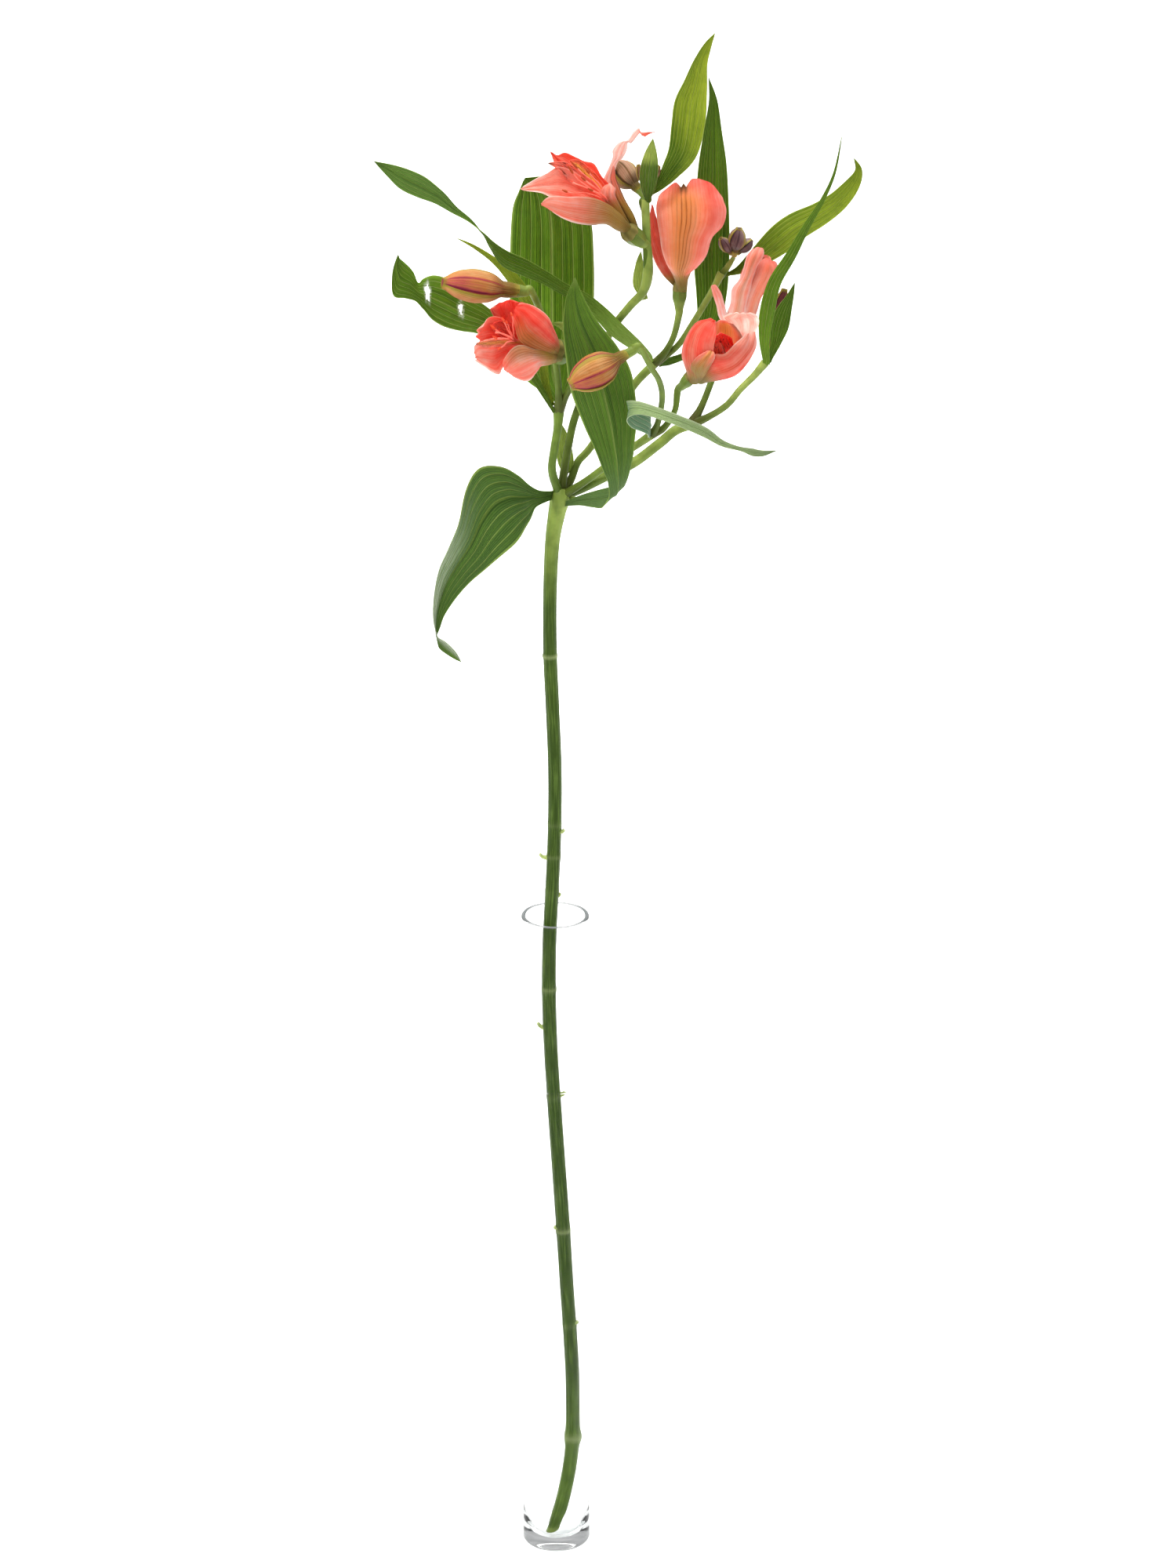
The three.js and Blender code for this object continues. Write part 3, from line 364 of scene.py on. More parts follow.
def clear_material(name, edge, band, ior, absorbed, density):
    """A clear solid. Lamps and soft light pass straight through it to what stands inside."""
    material, tree = empty_material(name)
    place = add(tree, "NewGeometry").outputs["Position"]
    heavy = add(tree, "Attribute", attribute_name="heavy").outputs["Fac"]
    stretch = add(tree, "Mapping", {"Vector": place, "Scale": DRAWN_LINES})
    drawn = add(tree, "TexNoise", {"Vector": stretch, "Scale": 1.0, "Detail": 2.0})
    bump = add(tree, "Bump", {"Strength": 0.12, "Distance": 0.0003, "Height": drawn})
    layered = add(tree, "Mapping", {"Vector": place, "Scale": FOOT_LAYERS})
    waves = add(tree, "TexNoise", {"Vector": layered, "Scale": 1.0, "Detail": 2.0, "Distortion": 0.6})
    bands = add(tree, "MapRange", {0: waves, 1: 0.36, 2: 0.58, 3: 0.0, 4: 1.0})
    # Facing is 0 where the wall is seen square on and 1 where it is seen edge on.
    facing = add(tree, "LayerWeight", {"Blend": 0.5})
    thin = add(tree, "MapRange", {0: facing.outputs["Facing"], 1: 0.5, 2: 0.9, 3: 0.0, 4: 1.0})
    thick = add(tree, "MapRange", {0: facing.outputs["Facing"], 1: 0.26, 2: 0.62, 3: 0.0, 4: 0.75})
    sooner = add(tree, "Math", {0: thick, 1: heavy}, operation="MULTIPLY")
    rim = add(tree, "Math", {0: thin, 1: sooner}, operation="MAXIMUM")
    low = add(tree, "Math", {0: heavy, 1: 3.0}, operation="POWER")
    shown = add(tree, "Math", {0: bands, 1: low}, operation="MULTIPLY")
    banded = add(tree, "MixRGB", {0: shown, 1: linear(PURE_WHITE), 2: linear(band)})
    body = add(tree, "MixRGB", {0: rim, 1: banded, 2: linear(edge)})
    solid = add(tree, "BsdfPrincipled", {"Base Color": body, "Roughness": 0.0, "IOR": ior,
                                         "Normal": bump, "Transmission Weight": 1.0,
                                         "Specular Tint": linear("#555555")})
    path = add(tree, "LightPath")
    soft = add(tree, "Math", {0: path.outputs["Is Shadow Ray"], 1: path.outputs["Is Diffuse Ray"]},
               operation="MAXIMUM")
    through = add(tree, "BsdfTransparent", {"Color": linear("#f6f7f7")})
    clear = add(tree, "MixShader", {0: soft, 1: solid, 2: through})
    # The matt grey below is painted shade for the rim's dark line, mixed in by the lip mark.
    matt = add(tree, "BsdfPrincipled", {"Base Color": linear(LIP_PAINTED_SHADE_GREY), "Roughness": 0.45,
                                        "Normal": bump})
    lip = add(tree, "Attribute", attribute_name="lip").outputs["Fac"]
    surface = add(tree, "MixShader", {0: lip, 1: clear, 2: matt})
    inside = add(tree, "VolumeAbsorption", {"Color": linear(absorbed), "Density": density})
    add(tree, "OutputMaterial", {"Surface": surface, "Volume": inside})
    return material


drawn_glass = clear_material("drawn_soda_lime_glass", "#8f9393", "#cdcece", GLASS_IOR, "#cfd0cf", 20.0)
still_water = clear_material("still_water", "#f0f2f2", PURE_WHITE, WATER_IOR, "#f7f8f8", 2.0)
print("glass and water mixed with an index of", GLASS_IOR, "and", WATER_IOR)

# %% How a profile is turned
VASE_RADIUS = 15
VASE_HEIGHT = 310
VASE_WALL = 1.8
VASE_FOOT = 3.6
VASE_SIDES = 128
INNER_RADIUS = VASE_RADIUS - VASE_WALL
# Where the inside starts to round, and up to where the foot counts as heavy.
ROUND_START = 27
HEAVY_TOP = 38
# The lip is painted matt grey in this share, as painted shade, and more so at both sides of its far half.
LIP_PAINTED_SHADE_SHARE = 0.78


def turned(profile):
    """A closed solid of revolution from [radius, height] rows that start and end on the axis."""
    sides = VASE_SIDES
    turn = round_turns(sides)[0]
    ring = np.stack([np.cos(turn), np.sin(turn)], axis=-1)
    inner = profile[1:-1]
    points = [[0, 0, profile[0][1]]]
    for radius, height in inner:
        points += [[radius * x, radius * y, height] for x, y in ring]
    points.append([0, 0, profile[-1][1]])
    faces = []
    for j in range(sides):
        beyond = (j + 1) % sides
        faces.append([0, 1 + beyond, 1 + j])
        for i in range(len(inner) - 1):
            low, high = 1 + i * sides, 1 + (i + 1) * sides
            faces.append([low + j, low + beyond, high + beyond, high + j])
        last = 1 + (len(inner) - 1) * sides
        faces.append([last + j, last + beyond, len(points) - 1])
    points = np.array(points, float)
    x, y, z = points.T
    outside = np.hypot(x, y) > INNER_RADIUS + 0.5
    # Painted shade on the rim: a share all round, and more at both sides of the far half.
    matt = LIP_PAINTED_SHADE_SHARE + (1 - LIP_PAINTED_SHADE_SHARE) * (x / VASE_RADIUS) ** 2 * rise(y, -5, 3)
    marks = {"heavy": outside * rise(z, HEAVY_TOP, 4),
             "lip": rise(z, VASE_HEIGHT - 0.8, VASE_HEIGHT - 0.3) * matt}
    return {"points": points, "faces": faces, "marks": marks}


def arc(centre, radius, start, end, steps):
    """Points [radius, height] on part of a circle, between two angles in degrees."""
    return [[centre[0] + radius * math.cos(turn), centre[1] + radius * math.sin(turn)]
            for turn in np.radians(np.linspace(start, end, steps))]


def inner_floor(shift=0.0):
    """The rounded inside of the foot, from the wall down to the axis, moved out by a shift."""
    rows = []
    for share in np.linspace(0, 1, 15)[:-1]:
        height = VASE_FOOT + (ROUND_START - VASE_FOOT) * (1 - share) ** 1.8
        drop = (ROUND_START - height) / (ROUND_START - VASE_FOOT)
        rows.append([(INNER_RADIUS + shift) * (1 - drop ** 4.5) ** 0.33, height - shift])
    return rows + [[0, VASE_FOOT - shift]]


print("the foot is", VASE_FOOT, "mm thick at the axis and rounds up to", ROUND_START, "mm")

# %% The glass tube, from the middle of its foot over the lip and down the inside
# The tube flares this much at the foot, and this is the radius of the foot's rounded edge.
FOOT_FLARE = 0.3
FOOT_ROUND = 2.4
# Rings close under the lip and over the foot keep the smooth shading of the long wall straight.
OUTER_RINGS = (2.3, 2.6, 4.5, 7, 10, 13, 16, 19, 22, 25, 28, 32, 60, 160, 260, 305, 308.5, 308.9)
INNER_RINGS = (308.9, 308.5, 305, 260, 160, 60, 35, 28)
half_wall = VASE_WALL / 2
outer = [[0, 0.3], [5, 0.25], [9, 0.1], [11.5, 0],
         *arc((VASE_RADIUS - 2.1, FOOT_ROUND), FOOT_ROUND, -88, 0, 9)]
wall = [[VASE_RADIUS + FOOT_FLARE * rise(height, 40, 8), height] for height in OUTER_RINGS]
lip = arc((VASE_RADIUS - half_wall, VASE_HEIGHT - half_wall), half_wall, 0, 180, 11)
inside = [[INNER_RADIUS, height] for height in INNER_RINGS]
piece("glass_tube", [turned(outer + wall + lip + inside + inner_floor())],
      drawn_glass, "vase")

# %% [markdown]
# ## The water
#
# Water touches the glass with no air between them. If the two meshes only met, the renderer would
# see either a gap or two faces in one place. The water is therefore a hair wider than the inside
# of the tube. Its top climbs the wall in a small curve, the meniscus, and that curve is what
# draws the thin waterline. The stem simply stands in it.

# %% Water with its meniscus
WATER_LEVEL = 228
OVERLAP = 0.03
WATER_RADIUS = INNER_RADIUS + OVERLAP
# How high the meniscus climbs, and over what distance from the glass it levels off.
CLIMB_HEIGHT = 1.1
CLIMB_REACH = 0.9
climbing = [[WATER_RADIUS - gap, WATER_LEVEL + CLIMB_HEIGHT * math.exp(-gap / CLIMB_REACH)]
            for gap in (0, 0.15, 0.35, 0.7, 1.2, 2, 3.5)]
filling = inner_floor(OVERLAP)[::-1] + [[WATER_RADIUS, 60], [WATER_RADIUS, 160]]
piece("tube_water", [turned(filling + climbing + [[0, WATER_LEVEL]])], still_water, "water")

# %% [markdown]
# ## Green skin of stem and rays
#
# The stem is living green tissue under a thin waxy skin, with fine ridges along it. Its colour
# is not even: it is paler where it flares under the rays, darker in the water, chalky on the
# scars of leaves that were stripped off, and brownish where the sun reached the rays. One side
# of the stem is also darker as painted shade, and the rays are limer on the side away from their
# brown as a painted highlight. Marks on the mesh say where each of these is, and the material
# turns them into colour. The ridges stand about 2 mm apart, so they are real geometry, and only
# the finer streaks are bump.

# %% Material: waxy stem skin
def waxy_stem_skin():
    """Green, waxy and finely ridged plant skin that reads the marks on the stem."""
    material, tree = empty_material("waxy_stem_skin")
    mark = {name: add(tree, "Attribute", attribute_name=name).outputs["Fac"]
            for name in ("deep", "lime", "blush", "scar", "around", "span")}
    chart = add(tree, "CombineXYZ", {0: mark["around"], 1: mark["span"]})
    lengthwise = add(tree, "Mapping", {"Vector": chart, "Scale": (26, 0.06, 1)})
    strands = add(tree, "TexNoise", {"Vector": lengthwise, "Scale": 1.0, "Detail": 3.0})
    place = add(tree, "NewGeometry").outputs["Position"]
    cloud = add(tree, "TexNoise", {"Vector": place, "Scale": 160.0, "Detail": 3.0})
    speck = add(tree, "TexNoise", {"Vector": place, "Scale": 1500.0, "Detail": 1.0})
    streaky = add(tree, "MapRange", {0: strands, 1: 0.45, 2: 0.7, 3: 0.0, 4: 0.32})
    patchy = add(tree, "MapRange", {0: cloud, 1: 0.4, 2: 0.75, 3: 0.0, 4: 0.5})
    # Layers over a fresh green: deeper, which also holds painted shade on one side of the stem,
    # lime, which also holds a painted highlight on one side of each ray, streaks, patches, sun brown
    # and chalk.
    colour = linear("#627d24")
    for share, tint in [(mark["deep"], "#2a3f06"), (mark["lime"], "#a5b45c"), (streaky, "#7c9a45"),
                        (patchy, "#31480f"), (mark["blush"], "#4f3b25"), (mark["scar"], "#b9c48a")]:
        colour = add(tree, "MixRGB", {0: share, 1: colour, 2: linear(tint)})
    height = add(tree, "Math", {0: strands, 1: speck}, operation="ADD")
    bump = add(tree, "Bump", {"Strength": 0.35, "Distance": 0.00025, "Height": height})
    gloss = add(tree, "MapRange", {0: cloud, 3: 0.34, 4: 0.5})
    solid = add(tree, "BsdfPrincipled", {"Base Color": colour, "Roughness": gloss, "Normal": bump,
                                         "IOR": 1.42, "Specular IOR Level": 0.2})
    add(tree, "OutputMaterial", {"Surface": solid})
    return material


stem_skin = waxy_stem_skin()
print(stem_skin.name, "has", len(stem_skin.node_tree.nodes), "nodes")

# %% Main stem rows
# The stem's centre line, from the cut end up to the flare under the rays: x, y, z and radius.
MAIN_STEM = [
    [-1.6, -5.9, 7.2, 3.05], [2.1, -6, 20, 3], [5, -5, 34, 3], [6.6, -3.9, 46, 3], [7.1, -3.6, 56, 3.1],
    [7.2, -3.5, 67, 3], [7, -3.6, 86, 3], [6, -4, 108, 3], [4.6, -4.6, 132, 3], [3.2, -5.5, 159, 3.05],
    [1.4, -6.8, 190, 3], [-0.5, -8, 222, 3], [-2, -8.8, 250, 3], [-2.7, -9.1, 277, 3.05],
    [-2.4, -9.2, 303, 3], [-1.2, -8.6, 328, 3], [-0.2, -6.5, 353, 3], [0, -4.3, 380, 3],
    [-1, -2.6, 409, 3], [-2, -1.4, 434, 3.05], [-2, -0.6, 461, 3], [-1, -0.2, 484, 3.2],
    [1, 0, 498, 3.8], [2.8, 0, 506, 4.4], [3.6, 0, 510, 3.2],
]
# Leaf scars: height, how far the stem swells there, how tall the ring is and how chalky.
SCARS = [
    [54, 0.75, 3.2, 0.5], [111, 0.2, 1.2, 0.3], [159, 0.25, 2, 0.6], [226, 0.15, 1.5, 0.2],
    [278, 0.3, 1.1, 0.8], [325, 0.15, 1.2, 0.05], [341, 0.2, 1.5, 0.2], [356, 0.15, 1.3, 0.2],
    [433, 0.3, 0.8, 0.7],
]
# Stubs of stripped leaves: height, direction round the stem in degrees, length and rise.
STUBS = [
    [322, 20, 0.8, 0.6], [340, 180, 2.8, 0.5], [352, 0, 1.2, 0.4], [259, 172, 2.2, 0.7],
    [226, 5, 1.6, 0.5], [160, 190, 0.6, 0.4], [112, -10, 0.6, 0.3],
]
print(len(MAIN_STEM), "rows of stem,", len(SCARS), "scars and", len(STUBS), "stubs")

# %% Main stem skin
STEM_RINGS = 420
STEM_SIDES = 40
STEM_RIDGES = 10
RIDGE_HEIGHT = 0.07
CUT_SLANT = 0.62


def main_stem():
    """The long stem with fine ridges, swollen scars and a slanting cut end."""
    line = resample(MAIN_STEM, STEM_RINGS)
    height = line[:, 2:3]
    turn = round_turns(STEM_SIDES)
    swell = sum(size * hill(height, at, tall) for at, size, tall, _ in SCARS)
    lean = 0.3 * np.cos(turn - 0.3 + height / 40)
    ridges = RIDGE_HEIGHT * np.cos(STEM_RIDGES * turn + height / 45)
    reach = line[:, 3:4] + swell * (1 + lean) + ridges
    chalk = sum(chalky * hill(height, at, 0.6 * tall) for at, _, tall, chalky in SCARS)
    flare = rise(height, 452, 504)
    # The cosine term darkens one side of the stem all the way up, as painted shade.
    deep = (0.8 + 0.15 * rise(height, 440, 330) - 0.7 * flare - 0.4 * rise(height, 90, 45)
            + 0.14 * np.cos(turn - 2.6))
    lime = 0.55 * flare * (0.6 + 0.4 * np.cos(turn + 2.2)) + 0.4 * rise(height, 11, 8)
    marks = {"span": height, "deep": np.clip(deep, 0, 1), "lime": np.clip(lime, 0, 1),
             "scar": np.clip(chalk * (0.7 + 0.3 * np.cos(turn)), 0, 1)}
    skin = tube(line[:, :3], reach, marks)
    # The stem was cut slanting, so the right of its end is pushed up and the left down.
    points = skin["points"]
    beside = points[:, 0] - np.interp(points[:, 2], line[:, 2], line[:, 0])
    points[:, 2] += CUT_SLANT * beside * rise(points[:, 2], 18, 10)
    return skin


def stem_at(height):
    """The middle of the main stem at a height."""
    rows = np.array(MAIN_STEM)
    return np.array([np.interp(height, rows[:, 2], rows[:, axis]) for axis in range(3)])


print("the stem's middle at the lip of the tube:", stem_at(VASE_HEIGHT).round(1))

# %% Stubs of stripped leaves
STUB_RINGS = 14
STUB_SIDES = 12
# A stub starts this far from the stem's middle, runs this far out before it shows, and has this
# radius, which tapers by this much.
STUB_ROOT = 1.6
STUB_RUN = 1.6
STUB_RADIUS = 1.9
STUB_TAPER = 0.9


def stub(height, degrees, length, rises):
    """The torn end of a stripped leaf: a short horn that curls up to a chalky tip."""
    turn = math.radians(degrees)
    out = np.array([math.cos(turn), math.sin(turn), 0])
    up = np.array([0, 0, 1])
    root = stem_at(height) + out * STUB_ROOT
    rows = [root, root + out * STUB_RUN + up * rises * 0.6,
            root + out * (STUB_RUN + 0.6 * length) + up * rises * 1.6,
            root + out * (STUB_RUN + length) + up * rises * (1.6 + 0.9 * length)]
    share = np.linspace(0, 1, STUB_RINGS)[:, None]
    flat = 1 - 0.35 * np.abs(np.sin(round_turns(STUB_SIDES)))
    reach = (STUB_RADIUS - STUB_TAPER * share ** 0.6) * flat
    marks = {"lime": 0.6, "scar": 0.35 + 0.65 * rise(share, 0.7, 1), "span": height + share}
    return tube(resample(rows, STUB_RINGS), reach, marks)


print("a stub starts", STUB_ROOT, "mm off the stem's middle")

# %% [markdown]
# ## Rays and pedicels
#
# Above the whorl the stem splits into rays, and each ray into pedicels, the small stalks that
# end in an ovary under the flower. Each is a tube through a handful of listed places.
# One large mesh from metaballs or a skin modifier would melt the forks together, but it would
# lose the ridges. Tubes that start deep inside one another keep them, and the forks still close.
#
# A pedicel has to end where its flower stands, so the flowers come first. Each has a base, the
# axis it opens along, the radius of its neck and a slot, the name that its colours go by. Most
# tepals are given by their two edges: each row is a place on the left edge and one on the right,
# from the flower's base to the tip. The ones that hide behind them are only given by a tip
# x, y, z from the base, a width, the reach along the axis, a bulge, and how red they are. Where
# the stamens show well, the throat and the end of each are given, and otherwise their length.

# %% What a tepal's look says
# Each look adds to this plain one. It always says "red", how red the base and the tip are, "arc",
# how far the tepal bows across in degrees, "ruffle", how high its margin waves in mm, and "neck",
# how far up the olive base runs. Places across a tepal go from -1 at its left edge to 1.
PLAIN_LOOK = {
    "cup": 1,  # 1 bulges to the front, and -1 is hollow there
    "notch": (0, 0),  # how deep the tip is notched, and where across
    "round": 0.04,  # how much shorter the margins are than the middle
    "pale": (0, 0),  # how much paler the left and the right margin are
    "streak": 0,  # fine nerves up the middle
    "fan": 0,  # nerves that fan out over the right half
    "gold": 0,  # a golden middle
    "blush": 0,  # redder towards the tip
    "brown": 0,  # browned at the margins
    "painted_shade": 0,  # painted shade: darker all over
    "tip": 0,  # a dark olive point
    "inner": False,  # one of the inner three, flecked with dark dashes
}
BLOOMS = {}
print("a look has", len(PLAIN_LOOK), "plain values")

# %% The top flower, which faces left
BLOOMS["bloom_top_left"] = {
    "base": (33, -2, 625), "axis": (-0.62, -0.3, 0.62), "neck": 3.9,
    "slot": "petal_coral", "pollen": 0.45, "throat": (24.0, -10.0, 640.5),
    "anthers": [
        [[15, -17, 647.5], [8, -21, 649], [3.5, -21, 650.5]],
        [[15, -15, 649.5], [10, -15, 653.5], [6, -14, 659]],
        [[18, -12, 650], [12.5, -13, 655], [7, -12, 660.5]],
        [[19, -16, 648.5], [15, -17, 652], [11.5, -17, 655]],
        [[21, -16, 646.5], [18, -18, 648.5], [14.5, -19, 650.5]],
        [[20, -11, 649], [16.5, -11, 653], [13.5, -10, 656.5]],
        [[17, -17, 648.5], [12, -19, 651.5], [8, -19, 653]],
    ],
    "edged": [
        ({"red": (0.85, 0.72), "cup": -1, "arc": 50, "ruffle": 1.2, "neck": 0.05},
         [[34, 0, 629, 32, -2, 628], [26, 2, 643, 24, -3, 637.5], [20.5, 4, 648.5, 19.5, -3, 638],
          [17, 5, 654, 14.5, -3, 640.5], [12.5, 5, 655, 9.5, -4, 646], [9, 4, 657, 5, -5, 650],
          [5, 2, 660, 2, -6, 653], [1.5, -1, 660, 1, -5, 657.5], [-1.5, -4, 662.5, -1, -4, 661]]),
        ({"red": (0.25, 0.02), "arc": 60, "ruffle": 0.3, "blush": 0.55, "neck": 0.15},
         [[33, 1, 628, 36, 1, 626.5], [28, 4, 634.5, 32.5, 5, 632], [23, 7, 639, 28.5, 8, 636.5],
          [20.5, 9, 642.5, 26.5, 9, 642], [21, 10, 645.5, 25.5, 10, 646], [23.5, 11, 651, 27, 11, 652.5],
          [25, 12, 655, 29, 12, 654], [25, 12, 658, 31, 12, 658], [28, 12, 661.5, 31.5, 12, 661.5],
          [31.5, 12, 662.5, 33, 12, 661], [33.5, 11, 666, 35.5, 11, 664.5], [36, 9, 668.5, 37, 9, 666.5],
          [37, 8, 667, 38.5, 8, 665], [40, 7, 667.5, 40.5, 7, 666.5], [43, 5, 668, 43, 5, 668]]),
        ({"red": (0.6, 0.5), "arc": 70, "ruffle": 0.1, "streak": 0.6, "brown": 0.9, "neck": 0.45},
         [[33, -1, 628, 36, 0, 627], [29.5, 0, 634.5, 34, 1, 632.5], [26.5, 1, 639.5, 30.5, 2, 638.5],
          [25, 2, 644, 28, 3, 644], [24, 3, 648, 26.5, 3, 648], [24.5, 3, 651.5, 26, 4, 651],
          [25, 4, 653.5, 25.5, 4, 653.5]]),
        ({"red": (0.9, 0.75), "cup": -1, "arc": 40, "ruffle": 0.3, "gold": 1.0, "inner": True,
          "neck": 0.05},
         [[32, -2, 630.5, 30.5, -3, 629], [22.5, -1, 645, 19, -5, 641], [19, -1, 650, 15, -6, 645.5],
          [15, -1, 654, 11.5, -6, 650], [11, -2, 657.5, 8.5, -7, 654], [6.5, -4, 658.5, 7, -6, 658]]),
        ({"red": (0.75, 0.6), "cup": -1, "arc": 40, "ruffle": 0.3, "tip": 0.9, "inner": True,
          "neck": 0.05},
         [[31, -3, 630.5, 32, -4, 628.5], [20.5, -4, 645, 20.5, -7, 640.5],
          [14.5, -5, 651, 16.5, -9, 643.5], [9.5, -6, 655.5, 10.5, -10, 646.5],
          [5, -8, 658.5, 6, -11, 651.5], [2, -10, 659.5, 2.5, -12, 656],
          [-2.5, -13, 660, -2, -13, 659.5]]),
        ({"red": (0.8, 0.32), "cup": -1, "arc": 50, "ruffle": 0.9, "tip": 0.1, "pale": (0.2, 0.15),
          "neck": 0.12},
         [[32, -3, 630.5, 33, -3, 626.5], [23, -6, 642.5, 26, -9, 635], [14.5, -8, 650, 19.5, -13, 638],
          [8, -9, 655, 11, -16, 641.5], [2, -11, 657.5, 4.5, -18, 644],
          [-3, -14, 655.5, -1.5, -19, 646.5], [-8.5, -17, 653.5, -6, -19, 648.5],
          [-14, -20, 651, -13.5, -20, 650]]),
        ({"red": (0.55, 0.4), "arc": 80, "ruffle": 0.7, "streak": 0.5, "brown": 0.3, "neck": 0.4},
         [[32.5, -4, 629.5, 29.5, -5, 631], [28, -9, 640, 24, -10, 639.5], [26, -11, 645, 20.5, -12, 644],
          [26, -10, 648, 20, -11, 647], [24.5, -8, 649, 22, -9, 649]]),
        ({"red": (0.5, 0.42), "arc": 80, "ruffle": 0.7, "streak": 0.3, "pale": (0.1, 0.6), "painted_shade": 0.1,
          "neck": 0.4},
         [[32, -4, 630, 33, -3, 625], [28, -11, 637, 27, -7, 628], [23, -17, 643, 22, -12, 632.5],
          [17, -21, 647, 16, -15, 633], [11, -23, 648.5, 10, -17, 634.5], [5.5, -24, 648.5, 5, -19, 637],
          [0, -24, 648.5, 0.5, -21, 640], [-3.5, -24, 647.5, -2.5, -22, 642.5],
          [-5.5, -24, 645.5, -5, -23, 644.5]]),
    ],
}
print(len(BLOOMS), "flowers so far")

# %% The flower that is seen from its back
BLOOMS["bloom_top_back"] = {
    "base": (54, 24, 591), "axis": (0.04, 0.16, 1), "neck": 3.1, "stamens": 26, "arc": 75,
    "slot": "petal_salmon", "tepals": [
        [9, 16, 39, 24, 22, 11, {"red": 0.5}],
        [-8, 4, 34, 12, 24, 5, {"red": 0.7}],
        [9, 4, 34, 12, 24, 5, {"red": 0.7}],
        [2, 12, 36, 12, 24, 6, {"red": 0.7}],
    ],
    "edged": [
        ({"red": (0.8, 1.0), "arc": 70, "ruffle": 0.4, "pale": (0.7, 0), "painted_shade": 0.2, "neck": 0.16},
         [[51.5, 26, 592.5, 54.5, 26, 593], [46.5, 24, 598.5, 51.5, 24, 599.5],
          [43, 24, 604.5, 49, 22, 607], [41, 26, 610.5, 47, 22, 614], [40, 28, 616, 45.5, 24, 619],
          [41, 30, 622, 44, 26, 624], [42, 31, 628, 42.5, 30, 628]]),
        ({"red": (0.45, 0.72), "arc": 95, "ruffle": 0.35, "notch": (0.09, -0.22), "round": 0.12,
          "streak": 1.0, "gold": 0.5, "pale": (0.25, 0.1), "tip": 0.9, "neck": 0.16},
         [[53, 21, 593, 57, 21, 593], [51, 15, 601, 58, 16, 601.5], [48, 9, 608.5, 61, 12, 605.5],
          [46, 6, 615.5, 65, 10, 611.5], [45, 6, 622, 67.5, 10, 619.5], [44, 8, 627.5, 72, 11, 624.5],
          [43.5, 11, 632.5, 73.5, 13, 630.5], [44.5, 14, 636.5, 72, 15, 635.5],
          [46, 18, 640.5, 70.5, 19, 642.5]]),
    ],
}
print(len(BLOOMS), "flowers so far")

